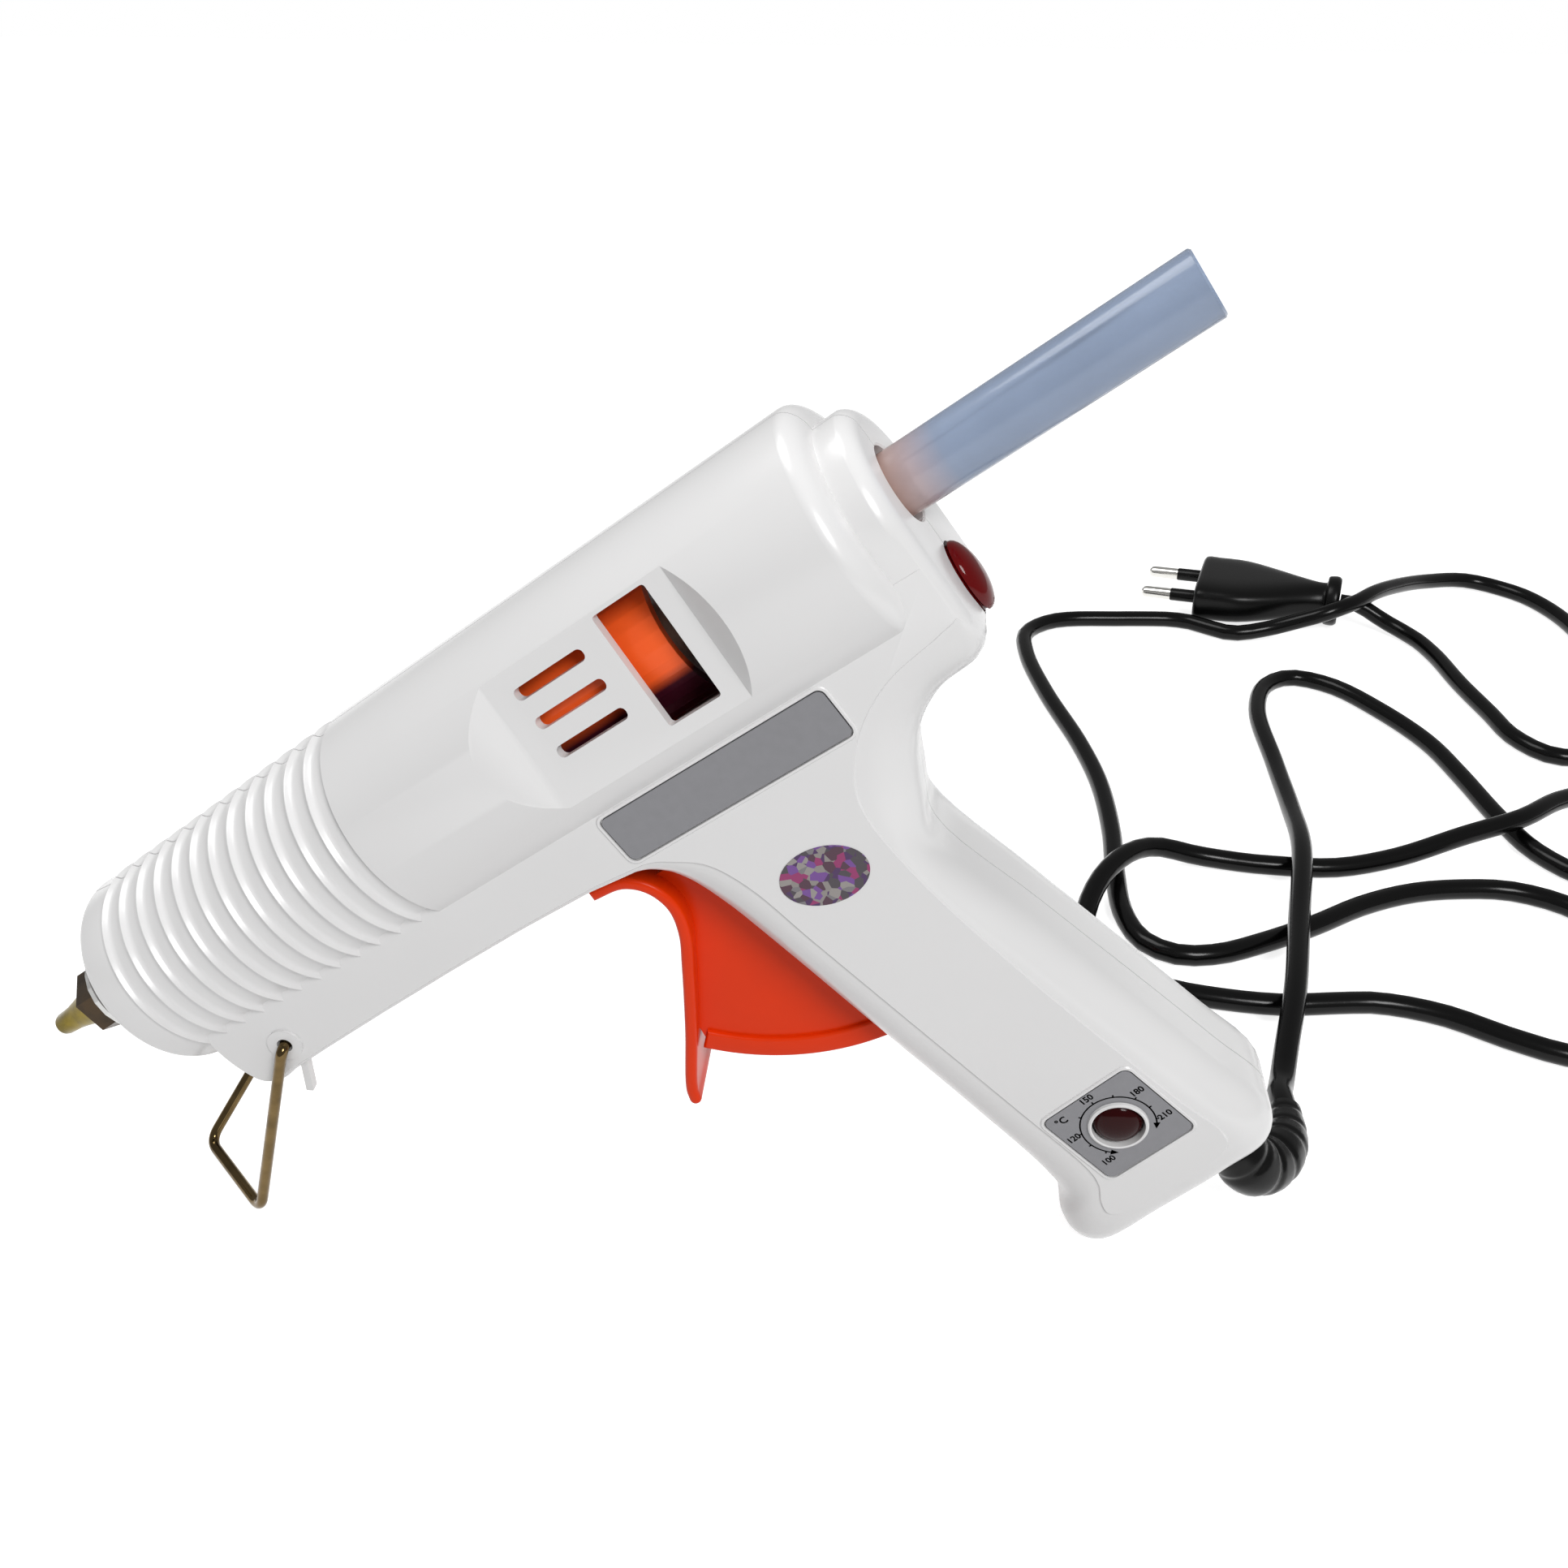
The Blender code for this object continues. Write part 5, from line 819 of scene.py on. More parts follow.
def raised_rim(outline):
    """a thin lip round a plate, with a softened top edge"""
    soft = drawn_in([Vector(p) for p in outline], LIP_SOFTNESS)
    heights = ((soft, -LIP_RISE), (outline, -LIP_RISE + LIP_SOFTNESS), (outline, LIP_ROOT))
    return skin_over("rim", [[(p[0], -HALF_WIDTH + y, p[1]) for p in line] for line, y in heights])


pearl = moulded("pearl_white", (0.72, 0.716, 0.716), 0.26, mottle=0.012, mottle_size=0.03, grain=0.000010,
                grain_size=0.0005, Coat_Weight=0.2, Coat_Roughness=0.2)
for name, node, side in (("near_shell", "left_shell", -1), ("far_shell", "right_shell", 1)):
    near, far = sorted((side * STOP_FROM, side * STOP_TO))
    raised = [plate_of("stop", stop_line, near, far)]
    raised.append(round_bar("boss", STAND_PLACE, BOSS_RADIUS, side * (HALF_WIDTH - BOSS_ROOT),
                            side * (HALF_WIDTH + BOSS_RISE)))
    tools = [round_bar("eye", STAND_PLACE, EYE_DRILL_RADIUS, -ROOM_HALF, ROOM_HALF)]
    if side < 0:
        outside = -HALF_WIDTH - OVERRUN
        for width, height, corner, place, turn in (
                (LABEL_LENGTH, LABEL_HEIGHT, LABEL_CORNER, LABEL_PLACE, 0.0),
                (DIAL_WIDTH, DIAL_HEIGHT, DIAL_CORNER, DIAL_PLACE, DIAL_TURN)):
            lip = round_cornered(width + RIM_SPREAD, height + RIM_SPREAD, corner + RIM_CORNER, 6, place, turn)
            raised.append(raised_rim(lip))
            recess = round_cornered(width + 2 * GAP, height + 2 * GAP, corner, 6, place, turn)
            tools.append(plate_of("plate_seat", recess, outside, -HALF_WIDTH + PLATE_SINK))
        knob_hole = ring_of(DIAL_PLACE, KNOB_HOLE_RADIUS, 64)
        tools.append(plate_of("knob_hole", knob_hole, outside, -HALF_WIDTH + KNOB_HOLE_DEPTH))
    else:
        for place in SCREW_PLACES:
            surface = side_at(place)
            seat_ring = ring_of(place, SCREW_SEAT_RADIUS, 32)
            tools.append(plate_of("screw_seat", seat_ring, surface - SCREW_SINK, surface + OVERRUN))
    low, high = sorted((-side * 1.0, side * GAP / 2))
    tools.append(plate_of("other_side", SQUARE, low, high))
    half = moulded_together(name, "UNION", shell.copy(), raised)
    half = moulded_together(name, "DIFFERENCE", half, tools)
    fitted(name, half, gun_place, pearl, "housing", "white_plastic", node)

# The six screws that hold the shells are zinc plated steel, driven from the far side.
# Each is turned with a domed head, and has a cross punched in it.
SCREW_RADIUS = 0.0015
HEAD_RADIUS = 0.0027
SHANK_LINE = ((-0.0080, 0), (-0.0080, 0.0010), (-0.0070, SCREW_RADIUS))
HEAD_LINE = (
    (0, SCREW_RADIUS), (0, HEAD_RADIUS), (0.0008, HEAD_RADIUS), (0.0013, 0.0024), (0.0017, 0.0016),
    (0.0018, 0),
)
CROSS_LONG = 0.0015
CROSS_SHORT = 0.0003
CROSS_FLOOR = 0.0007
CROSS_TOP = 0.003
screw_steel = moulded("screw_steel", (0.50, 0.50, 0.51), 0.3, Metallic=1.0)
for number, place in enumerate(SCREW_PLACES, 1):
    seat = side_at(place) - SCREW_SINK + GAP
    head = [(seat + rise, radius) for rise, radius in HEAD_LINE]
    screw = turned_across("screw", place, [*SHANK_LINE, *head])
    bars = []
    for long_side, short_side in ((CROSS_LONG, CROSS_SHORT), (CROSS_SHORT, CROSS_LONG)):
        bar = [(place[0] + a * long_side, place[1] + b * short_side) for a, b in SQUARE]
        bars.append(plate_of("bar", bar, seat + CROSS_FLOOR, seat + CROSS_TOP))
    screw = moulded_together("screw", "DIFFERENCE", screw, bars)
    fitted(f"cross_screw_{number}", screw, gun_place, screw_steel, "housing", "steel",
           f"housing_screw_{number}")

# The hot end: a turned brass nozzle, browned by heat, with a spanner hexagon, in a black guard ring,
# on a cast aluminium melt chamber with its ceramic heater clipped below it.
brass = moulded("browned_brass", (0.15, 0.110, 0.014), 0.30, mottle=0.4, mottle_size=0.003, Metallic=1.0)
scorched = moulded("scorched_brass", (0.045, 0.026, 0.010), 0.38, mottle=0.4, mottle_size=0.004, Metallic=0.7)
guard_black = moulded("guard_black", (0.016, 0.010, 0.006), 0.42, mottle=0.3, mottle_size=0.004,
                      Specular_IOR_Level=0.3)
NOZZLE_LINE = (
    (0, 0.0009), (0, 0.0017), (0.0003, 0.0021), (0.0009, 0.0023), (0.0040, 0.0025), (0.0066, 0.0030),
    (0.0108, 0.0040), (0.0120, 0.0043), (0.0120, 0.0050), (0.0199, 0.0050), (0.0199, 0.0040),
    (0.0280, 0.0040), (0.0280, 0.0009),
)
HEXAGON_LINE = ((0.0122, 0.0044), (0.0122, 0.0060), (0.0129, 0.0070), (0.0196, 0.0070), (0.0196, 0.0044))
GUARD_LINE = (
    (-0.0080, 0.0098), (-0.0080, 0.0112), (-0.0077, 0.0117), (-0.0068, 0.0122), (-0.002, 0.0128),
    (0.0027, 0.0128), (0.0027, 0.0150), (0.0045, 0.0150), (0.0045, 0.0098),
)


def coated(node, material):
    """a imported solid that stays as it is, in its own material"""
    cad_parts[node].material_slots[0].material = material


nozzle = lathed("nozzle", NOZZLE_LINE, 64)
hexagon = lathed("hexagon", HEXAGON_LINE, 6)
fitted("nozzle_tip", nozzle, gun_place, brass, "housing", "brass", "nozzle")
fitted("nozzle_hexagon", hexagon, gun_place, scorched, "housing", "brass", "nozzle")
guard = lathed("guard", [(RIM + along, radius) for along, radius in GUARD_LINE], 96)
fitted("guard_ring", guard, gun_place, guard_black, "housing", "black_plastic", "nozzle_guard")
coated("melt_chamber", moulded("cast_alloy", (0.60, 0.60, 0.59), 0.5, mottle=0.1, mottle_size=0.003,
                               Metallic=1.0))
coated("heater", moulded("heater_ceramic", (0.75, 0.72, 0.65), 0.7))
coated("heater_clamp", moulded("clamp_steel", (0.5, 0.5, 0.5), 0.35, Metallic=1.0))
coated("inlet_sleeve", moulded("sleeve_silicone", (0.72, 0.68, 0.60), 0.55))
coated("sleeve_clip", moulded("clip_steel", (0.5, 0.5, 0.5), 0.3, Metallic=1.0))

# The glue stick is a cloudy rod of glue, warmed to a peach colour where it enters. It slides in from behind,
# gripped by the toothed steel plate of the orange carriage, which shows through the windows.
signal_orange = moulded("signal_orange", (0.72, 0.036, 0.001), 0.30, mottle=0.03, grain=0.000006,
                        Specular_IOR_Level=0.16)
# Painted glow: the carriage's orange is brighter than the trigger's same plastic, painted in for the light
# that comes through the thin shells.
carriage_painted_glow_and_shade = moulded("carriage_painted_glow_and_shade", (1.0, 0.125, 0.020), 0.35, mottle=0.06, Specular_IOR_Level=0.3)
glue = moulded("cloudy_glue", (0.30, 0.37, 0.50), 0.2, mottle=0.1, mottle_size=0.02, Transmission_Weight=0.45,
               IOR=1.35, Coat_Weight=0.3, Coat_Roughness=0.1)
STICK_TIP = 0.060
STICK_BEHIND = 0.0526
STICK_CHAMFER = 0.0004
STICK_TAPER = 0.8
PEACH = (0.80, 0.50, 0.38)
PEACH_INSIDE = 0.004
PEACH_BEHIND = 0.009
CARRIAGE_PAINTED_SHADE = (0.045, 0.004, 0.012)
SHADE_FULL = 0.0040
SHADE_GONE = 0.0014


def blended_along(material, way, start, end, colour):
    """another colour up to start along a way, which passes into the material's own colour by end"""
    nodes = material.node_tree.nodes
    links = material.node_tree.links
    reach = nodes.new("ShaderNodeVectorMath")
    reach.operation = "DOT_PRODUCT"
    reach.inputs[1].default_value = way
    links.new(nodes["Texture Coordinate"].outputs["Object"], reach.inputs[0])
    change = nodes.new("ShaderNodeMapRange")
    change.inputs["From Min"].default_value = start
    change.inputs["From Max"].default_value = end
    links.new(reach.outputs["Value"], change.inputs["Value"])
    blend = nodes.new("ShaderNodeMix")
    blend.data_type = "RGBA"
    blend.inputs["A"].default_value = (*colour, 1)
    base = nodes["Principled BSDF"].inputs["Base Color"]
    links.new(change.outputs["Result"], blend.inputs["Factor"])
    links.new(base.links[0].from_socket, blend.inputs["B"])
    links.new(blend.outputs["Result"], base)


backwards = Vector((math.cos(TILT), 0, math.sin(TILT)))
inlet_at = backwards.dot(gun_place @ Vector((REAR, 0, 0)))
blended_along(glue, backwards, inlet_at - PEACH_INSIDE, inlet_at + PEACH_BEHIND, PEACH)
stick_rear = REAR + STICK_BEHIND
stick = lathed("stick", [
    (STICK_TIP, 0), (STICK_TIP, STICK_RADIUS * STICK_TAPER), (STICK_TIP + STICK_RADIUS, STICK_RADIUS),
    (stick_rear - STICK_CHAMFER, STICK_RADIUS), (stick_rear, STICK_RADIUS - STICK_CHAMFER),
    (stick_rear, 0)], 64)
fitted("stick_of_glue", stick, gun_place, glue, "stick", "glue", "glue_stick")
# Painted shade: the carriage fades to a dark red below the stick's axis, where the windows look into shadow.
upwards = Vector((-math.sin(TILT), 0, math.cos(TILT)))
axis_at = upwards.dot(gun_place @ Vector((0, 0, 0)))
blended_along(carriage_painted_glow_and_shade, upwards, axis_at - SHADE_FULL, axis_at - SHADE_GONE, CARRIAGE_PAINTED_SHADE)
coated("feed_carriage", carriage_painted_glow_and_shade)
coated("grip_plate", screw_steel)

# The trigger is one orange moulding: a bowed finger blade on a thin web with a round rim behind, and a hub
# that turns on a steel pin against a coiled spring and pushes the carriage with its arm.
BLADE_LENGTH = 0.0470
BLADE_LEAN = 0.0250
BLADE_THICK = 0.0024
BLADE_AHEAD = 1.82
BLADE_SOFTNESS = 0.0009
BLADE_HALF = 0.0085
RIM_HALF = 0.0055
RIM_THICK = 0.0043
RIM_SOFTNESS = 0.0006
WEB_HALF = 0.0045
WEB_INTO_RIM = 0.0021
WEB_ON_HUB = 0.004
ARM_HALF = 0.0042
ARM_RADIUS = 0.0028
ARM_TIP = Vector((-0.0010, 0.0220))
ARM_ROOT = Vector((0.0035, 0))
ARM_NECK = Vector((0.0025, 0.0050))
HUB_HALF = 0.009
HUB_RADIUS = 0.005
PIN_HOLE_RADIUS = 0.0023
PIN_DRILL_HALF = 0.02
BLADE_LINE = ((0.63, 0.0), (0.87, 0.018), (0.99, 0.080), (1.03, 0.183), (0.96, 0.296), (0.79, 0.431),
              (0.42, 0.702), (0.07, 0.945), (0.025, 1.0))
RIM_FROM = math.radians(221.5)
RIM_TO = math.radians(270)


def soft_plate(name, outline, half, soft):
    """a flat moulding from side to side of the middle plane, with rounded edges"""
    rings = []
    for side in (-1, 1):
        rows = []
        for angle in quarter_turn(4):
            drawn = drawn_in(outline, soft * (1 - math.sin(angle)) + 0.000001)
            rows.append([(p.x, side * (half - soft * (1 - math.cos(angle))), p.y) for p in drawn])
        rings += rows if side < 0 else rows[::-1]
    return skin_over(name, rings)


blade_back = PIVOT.x - BLADE_AHEAD * BLADE_LEAN
blade_front = smooth_line([(blade_back + a * BLADE_LEAN, -KEEL_DROP - 2 * WALL + GAP - d * BLADE_LENGTH)
                           for a, d in BLADE_LINE], 6)
blade_rear = []
behind = blade_front[:1] + blade_front[:-1]
ahead = blade_front[1:] + blade_front[-1:]
for before, here, after in zip(behind, blade_front, ahead):
    way = (after - before).normalized()
    blade_rear.append(here + Vector((-way.y, way.x)) * BLADE_THICK)
middle = (blade_front[-1] + blade_rear[-1]) / 2
way = (blade_front[-1] - blade_front[-2]).normalized()
edge = blade_front[-1] - middle
blade_end = []
for i in range(1, 8):
    angle = math.pi * i / 8
    blade_end.append(middle + edge * math.cos(angle) + way * BLADE_THICK / 2 * math.sin(angle))
blade = soft_plate("blade", blade_front + blade_end + blade_rear[::-1], BLADE_HALF, BLADE_SOFTNESS)


def round_pivot(radius, start, end, steps):
    """places on an arc about the trigger's pin"""
    angles = [start + (end - start) * i / steps for i in range(steps + 1)]
    return [PIVOT + radius * Vector((math.cos(a), math.sin(a))) for a in angles]


rim_line = round_pivot(TRIGGER_REACH, RIM_FROM, RIM_TO, 40)
rim_line += round_pivot(TRIGGER_REACH - RIM_THICK, RIM_TO, RIM_FROM, 40)
rim = soft_plate("rim", rim_line, RIM_HALF, RIM_SOFTNESS)
web = [Vector((PIVOT.x + WEB_ON_HUB, PIVOT.y)), Vector((PIVOT.x, PIVOT.y + WEB_ON_HUB))]
web += [blade_rear[k] - (blade_rear[k] - blade_front[k]) / 3 for k in (12, 18, 24, 30, 36)]
web += round_pivot(TRIGGER_REACH - WEB_INTO_RIM, RIM_FROM, RIM_TO, 12)
hub = round_bar("hub", PIVOT, HUB_RADIUS, -HUB_HALF, HUB_HALF)
push_tip = PIVOT + ARM_TIP
arm = [PIVOT + ARM_ROOT, PIVOT + ARM_NECK]
for i in range(13):
    angle = math.pi * i / 12
    arm.append(push_tip + ARM_RADIUS * Vector((math.cos(angle), math.sin(angle))))
arm.append(PIVOT - ARM_ROOT)
trigger = moulded_together("trigger", "UNION", plate_of("web", web, -WEB_HALF, WEB_HALF), [
    rim, hub, plate_of("arm", arm, -ARM_HALF, ARM_HALF), blade])
trigger = moulded_together("trigger", "DIFFERENCE", trigger, [
    round_bar("pin_hole", PIVOT, PIN_HOLE_RADIUS, -PIN_DRILL_HALF, PIN_DRILL_HALF)])
fitted("squeeze_trigger", trigger, gun_place, signal_orange, "trigger", "orange_plastic", "trigger")
coated("trigger_pin", screw_steel)
coated("return_spring", moulded("spring_steel", (0.4, 0.4, 0.42), 0.3, Metallic=1.0))

# The label and the dial plate are grey foil, let into the flat side. The dial is printed in black with an
# arc of heat marks, and an oval seal of rainbow foil sits on the handle above it.
foil_grey = moulded("foil_grey", (0.215, 0.215, 0.228), 0.42, mottle=0.03, mottle_size=0.002, Metallic=0.2)
coated("label_plate", foil_grey)
coated("dial_plate", foil_grey)
ink = moulded("dial_ink", (0.012, 0.010, 0.012), 0.5, mottle_size=0.002)
INK_FACE = -HALF_WIDTH - 0.0002
INK_THICK = 0.0001
ARC_RADIUS = 0.00695
ARC_HALF = 0.00015
ARC_FROM = math.radians(-27)
ARC_TO = math.radians(230)
ARROW_HALF = 0.00065
ARROW_POINT = 0.20
ARROW_FOOT = 0.02
TICK_HALF = 0.00016
TICK_START = 0.0070
TICK_END = 0.0075
TICK_DEGREES = (222, 195, 168, 134, 100, 68, 35, 8, -18)
FIGURE_HEIGHT = 0.0019
FIGURE_BOLDNESS = 0.00006
FIGURES = (
    ("100", 229, 0.0091, FIGURE_HEIGHT), ("120", 172, 0.0087, FIGURE_HEIGHT),
    ("150", 102, 0.0086, FIGURE_HEIGHT), ("180", 38, 0.0088, FIGURE_HEIGHT),
    ("210", -14, 0.0087, FIGURE_HEIGHT), ("°C", 144, 0.0103, 0.0022),
)


def at_dial(radius, angle):
    """a place on the dial's face, from its middle"""
    return Vector((DIAL_PLACE[0] + radius * math.cos(angle), DIAL_PLACE[1] + radius * math.sin(angle)))


def printed(name, outline):
    """a flat mark of ink on the dial's face"""
    return plate_of(name, outline, INK_FACE, INK_FACE + INK_THICK)


arc = [at_dial(ARC_RADIUS + ARC_HALF, ARC_FROM + (ARC_TO - ARC_FROM) * i / 60) for i in range(61)]
arc += [at_dial(ARC_RADIUS - ARC_HALF, ARC_TO - (ARC_TO - ARC_FROM) * i / 60) for i in range(61)]
marks = [printed("arc", arc)]
for angle, turn in ((ARC_FROM, -1), (ARC_TO, 1)):
    foot = angle - turn * ARROW_FOOT
    marks.append(printed("arrow", [
        at_dial(ARC_RADIUS, angle + turn * ARROW_POINT), at_dial(ARC_RADIUS + ARROW_HALF, foot),
        at_dial(ARC_RADIUS - ARROW_HALF, foot)]))
for degrees in TICK_DEGREES:
    angle = math.radians(degrees)
    side = Vector((-math.sin(angle), math.cos(angle))) * TICK_HALF
    marks.append(printed("tick", [
        at_dial(TICK_START, angle) + side, at_dial(TICK_END, angle) + side,
        at_dial(TICK_END, angle) - side, at_dial(TICK_START, angle) - side]))
for words, degrees, radius, height in FIGURES:
    font = bpy.data.curves.new("figures", "FONT")
    font.body = words
    font.size = height
    font.align_x = "CENTER"
    font.align_y = "CENTER"
    font.extrude = INK_THICK / 2
    font.offset = FIGURE_BOLDNESS
    font.resolution_u = 3
    holder = placed("figures", font)
    figures = bpy.data.meshes.new_from_object(holder.evaluated_get(bpy.context.evaluated_depsgraph_get()))
    bpy.data.objects.remove(holder)
    spot = at_dial(radius, math.radians(degrees))
    figures.transform(
        Matrix.Translation((spot.x, INK_FACE + INK_THICK / 2, spot.y))
        @ Matrix.Rotation(-DIAL_TURN, 4, "Y") @ Matrix.Rotation(math.pi / 2, 4, "X"))
    marks.append(figures)
print_bm = bmesh.new()
for mark in marks:
    print_bm.from_mesh(mark)
dial_print = bpy.data.meshes.new("dial_print")
print_bm.to_mesh(dial_print)
print_bm.free()
fitted("dial_print", dial_print, gun_place, ink, "housing", "black_plastic")
FOIL_GRAIN = 720
FOIL_COLOURS = (
    (0.0, (0.16, 0.15, 0.16)), (0.20, (0.05, 0.015, 0.08)), (0.36, (0.22, 0.20, 0.19)),
    (0.44, (0.24, 0.02, 0.11)), (0.50, (0.05, 0.04, 0.05)), (0.62, (0.14, 0.05, 0.24)),
    (0.70, (0.25, 0.23, 0.22)), (0.80, (0.06, 0.02, 0.04)),
)
SEAL_PLACE = (0.1605, -0.0458)
SEAL_HALF_LENGTH = 0.00805
SEAL_HALF_HEIGHT = 0.0058
SEAL_TURN = math.radians(-9.5)
SEAL_RISE = 0.00012
SEAL_ROOT = 0.0001
rainbow_foil = moulded("rainbow_foil", (0.30, 0.28, 0.33), 0.3, Metallic=0.2)
foil_nodes = rainbow_foil.node_tree.nodes
foil_links = rainbow_foil.node_tree.links
spots = foil_nodes.new("ShaderNodeTexVoronoi")
spots.inputs["Scale"].default_value = FOIL_GRAIN
foil_links.new(foil_nodes["Texture Coordinate"].outputs["Object"], spots.inputs["Vector"])
colours = foil_nodes.new("ShaderNodeValToRGB")
colours.color_ramp.interpolation = "CONSTANT"
ramp = colours.color_ramp.elements
ramp[0].color = (*FOIL_COLOURS[0][1], 1)
ramp.remove(ramp[1])
for position, colour in FOIL_COLOURS[1:]:
    ramp.new(position).color = (*colour, 1)
foil_links.new(spots.outputs["Color"], colours.inputs["Fac"])
foil_links.new(colours.outputs["Color"], foil_nodes["Principled BSDF"].inputs["Base Color"])
seal = []
for angle in round_turn(64):
    along = SEAL_HALF_LENGTH * math.cos(angle)
    seal.append(turned_at(SEAL_PLACE, SEAL_TURN, along, SEAL_HALF_HEIGHT * math.sin(angle)))
seal_plate = plate_of("seal", seal, -HALF_WIDTH - SEAL_RISE, -HALF_WIDTH + SEAL_ROOT)
fitted("oval_seal", seal_plate, gun_place, rainbow_foil, "housing", "grey_plate")

# The dial knob is a dark red clear dome in a white ring, and the lens over the lamp is the same plastic.
# The knob turns the potentiometer behind it, and the lens is pressed into the rear face.
lens_red = moulded("lens_red", (0.11, 0.0015, 0.002), 0.09, mottle=0.1, grain=0.000002,
                   Specular_IOR_Level=0.2)
knob_red = moulded("knob_red", (0.024, 0.0006, 0.001), 0.12, mottle=0.1, grain=0.000002,
                   Specular_IOR_Level=0.12)
KNOB_FACE = -HALF_WIDTH + 0.0010
KNOB_LINE = (
    (-0.0024, 0), (-0.0023, 0.0013), (-0.0021, 0.0025), (-0.0017, 0.0035), (-0.0011, 0.0042),
    (-0.0003, 0.0046), (0.0026, 0.0046), (0.0026, 0.0025), (0.0056, 0.0025), (0.0056, 0),
)
RING_LINE = (
    (-0.0002, 0.0056), (-0.0007, 0.0055), (-0.0009, 0.0052), (-0.0008, 0.0049),
    (0.0008, 0.0048), (0.0008, 0.00515), (0.0001, 0.00515),
)
LENS_SHARE = 0.94
LENS_SEAT = 0.0034
LENS_RISE = 0.0024
knob = turned_across("knob", DIAL_PLACE, [(KNOB_FACE + along, radius) for along, radius in KNOB_LINE], 64)
fitted("knob_dome", knob, gun_place, knob_red, "dial", "red_lens", "dial_knob")
ring_line = [(along - HALF_WIDTH, radius) for along, radius in RING_LINE]
knob_ring = turned_across("knob_ring", DIAL_PLACE, ring_line, 64)
fitted("knob_ring", knob_ring, gun_place, pearl, "housing", "white_plastic")
lens_rings = [lens_oval(REAR - LENS_SEAT, LENS_SHARE), lens_oval(REAR, LENS_SHARE)]
for angle in quarter_turn(8)[:-1]:
    lens_rings.append(lens_oval(REAR + GAP + LENS_RISE * math.sin(angle), math.cos(angle)))
fitted("lens_dome", skin_over("lens", lens_rings), gun_place, lens_red, "housing", "red_lens",
       "indicator_lens")
coated("indicator_lamp", lens_red)

# The potentiometer in its black case sits on a green board behind the dial, and the knob's shaft turns it.
# A black plastic bar is screwed down over the flex, so that a pull on it stops there.
coated("potentiometer", moulded("case_black", (0.03, 0.03, 0.03), 0.4))
coated("control_board", moulded("board_green", (0.03, 0.16, 0.07), 0.45))
coated("cord_clamp", moulded("clamp_black", (0.03, 0.03, 0.03), 0.5))

# The stand is one wire of bronzed steel, bent to a loop with a short straight foot. Its two short ends
# are sprung into holes in the housing's ears, and it swings on them.
WIRE_RADIUS = 0.0011
WIRE_BEND = 0.0034
EYE_BEND = 0.0009
STAND_MIDDLE = Vector((-0.065181, 0, 0.044433))
EYE_CLEARANCE = 0.0009
END_IN_EYE = 0.0042
LEG_REACH = 0.0120
FOOT_REACH = 0.0300
FAR_BEND = 0.38
wide = HALF_WIDTH + EYE_CLEARANCE + WIRE_RADIUS
drop = STAND_MIDDLE.z - WIRE_RADIUS
stand_corners = [
    (0, -HALF_WIDTH + END_IN_EYE, 0), (0, -wide, 0), (-LEG_REACH, -wide, -drop), (-FOOT_REACH, 0, -drop),
    (-LEG_REACH - WIRE_RADIUS, wide, -FAR_BEND * drop), (0, wide, 0), (0, HALF_WIDTH - END_IN_EYE, 0)]
stand_corners = [Vector(corner) for corner in stand_corners]
stand_line = [stand_corners[0]]
for k, (before, here, after) in enumerate(zip(stand_corners, stand_corners[1:], stand_corners[2:])):
    reach = EYE_BEND + WIRE_RADIUS if k in (0, 4) else WIRE_BEND
    start = here + (before - here).normalized() * reach
    end = here + (after - here).normalized() * reach
    for i in range(11):
        t = i / 10
        stand_line.append(start * (1 - t) ** 2 + here * 2 * t * (1 - t) + end * t ** 2)
stand_line.append(stand_corners[-1])
bronzed = moulded("bronzed_wire", (0.13, 0.088, 0.038), 0.11, mottle=0.35, mottle_size=0.006, Metallic=1.0)
stand = round_rod("bent_stand", [point + STAND_MIDDLE for point in stand_line], WIRE_RADIUS, bronzed)
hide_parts("wire_stand")
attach(stand, "stand")

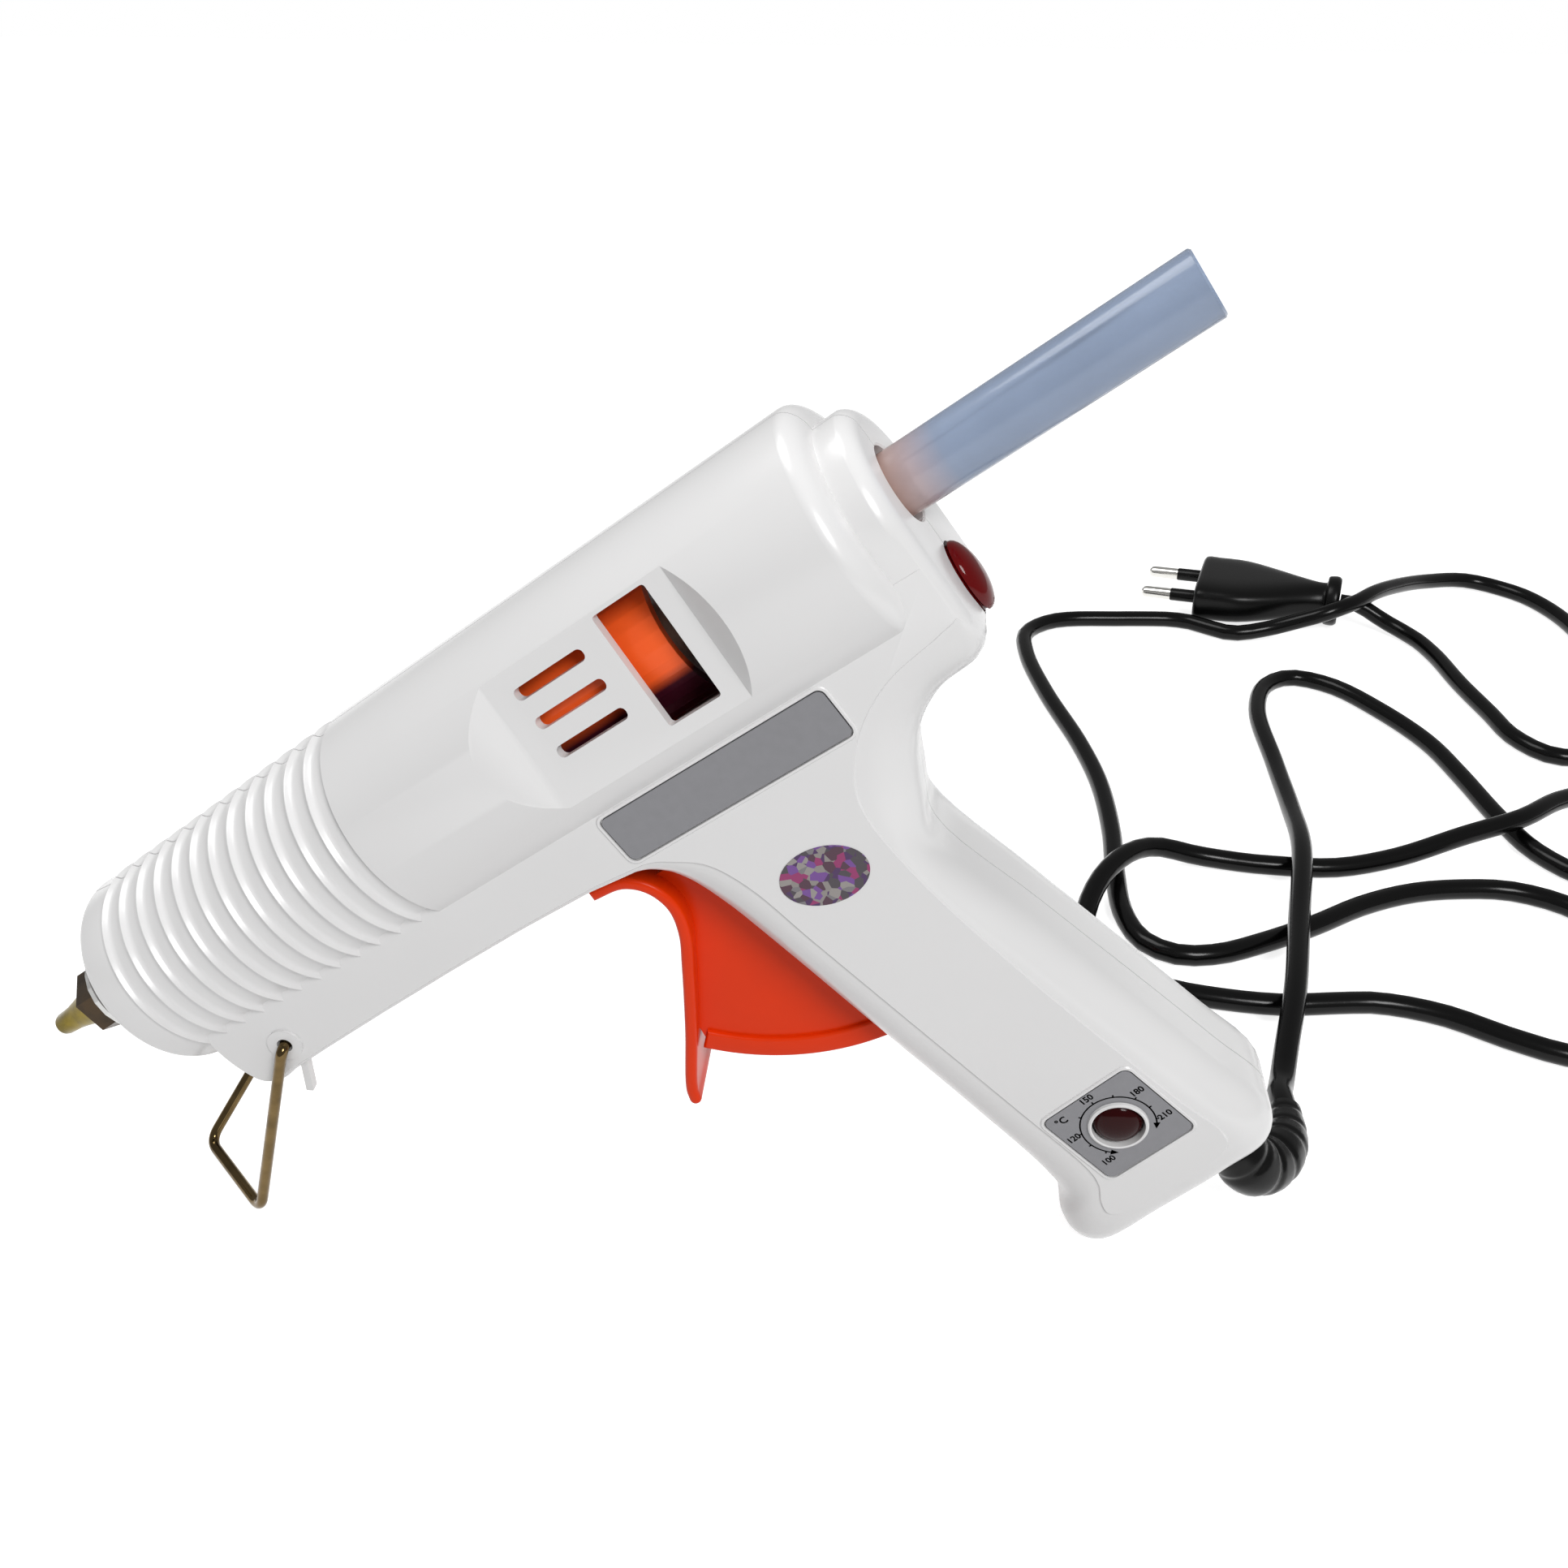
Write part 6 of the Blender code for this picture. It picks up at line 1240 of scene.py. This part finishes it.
# The table is a plain pale board, which shows white to the camera and in gloss and glass, but keeps the
# gun's shadow. It is not a part of the gun.
TABLE_HALF = 2
TABLE_GLOW = 0.80
table_white = bpy.data.materials.new("table_white")
table_white.use_nodes = True
nodes = table_white.node_tree.nodes
links = table_white.node_tree.links
shader = nodes["Principled BSDF"]
shader.inputs["Base Color"].default_value = (0.62, 0.62, 0.62, 1)
shader.inputs["Roughness"].default_value = 0.9
seen = nodes.new("ShaderNodeLightPath")
either = nodes.new("ShaderNodeMath")
either.operation = "MAXIMUM"
any_of = nodes.new("ShaderNodeMath")
any_of.operation = "MAXIMUM"
links.new(seen.outputs["Is Camera Ray"], either.inputs[0])
links.new(seen.outputs["Is Glossy Ray"], either.inputs[1])
links.new(either.outputs[0], any_of.inputs[0])
links.new(seen.outputs["Is Transmission Ray"], any_of.inputs[1])
glow = nodes.new("ShaderNodeMath")
glow.operation = "MULTIPLY"
glow.inputs[1].default_value = TABLE_GLOW
links.new(any_of.outputs[0], glow.inputs[0])
shader.inputs["Emission Color"].default_value = (1, 1, 1, 1)
links.new(glow.outputs[0], shader.inputs["Emission Strength"])
table_mesh = bpy.data.meshes.new("table_top")
corners = [(a * TABLE_HALF, b * TABLE_HALF, 0) for a, b in SQUARE]
table_mesh.from_pydata(corners, [], [(0, 1, 2, 3)])
table_mesh.materials.append(table_white)
table_top = placed("table_top", table_mesh)

# Soft studio light: a pale room, a wide soft lamp above and behind the barrel, and one in front on the
# right that lights the dial side.
LIT_PLACE = Vector((0, 0, 0.08))
LAMPS = (("key", Vector((-0.25, 0.15, 0.75)), 0.45, 2.4), ("fill", Vector((0.38, -0.58, 0.72)), 0.35, 5.6))
ROOM_LIGHT = 0.36
room = bpy.data.worlds.new("room")
bpy.context.scene.world = room
room.use_nodes = True
nodes = room.node_tree.nodes
links = room.node_tree.links
seen = nodes.new("ShaderNodeLightPath")
either = nodes.new("ShaderNodeMath")
either.operation = "MAXIMUM"
links.new(seen.outputs["Is Camera Ray"], either.inputs[0])
links.new(seen.outputs["Is Transmission Ray"], either.inputs[1])
strength = nodes.new("ShaderNodeMapRange")
strength.inputs["To Min"].default_value = ROOM_LIGHT
strength.inputs["To Max"].default_value = 1.0
links.new(either.outputs[0], strength.inputs["Value"])
nodes["Background"].inputs["Color"].default_value = (1, 1, 1, 1)
links.new(strength.outputs["Result"], nodes["Background"].inputs["Strength"])
for name, place, size, power in LAMPS:
    lamp = bpy.data.lights.new(name, "AREA")
    lamp.shape = "DISK"
    lamp.size = size
    lamp.energy = power
    holder = placed(name, lamp)
    holder.location = place
    holder.rotation_euler = (place - LIT_PLACE).to_track_quat("Z", "Y").to_euler()
bpy.context.scene.view_settings.view_transform = "Standard"
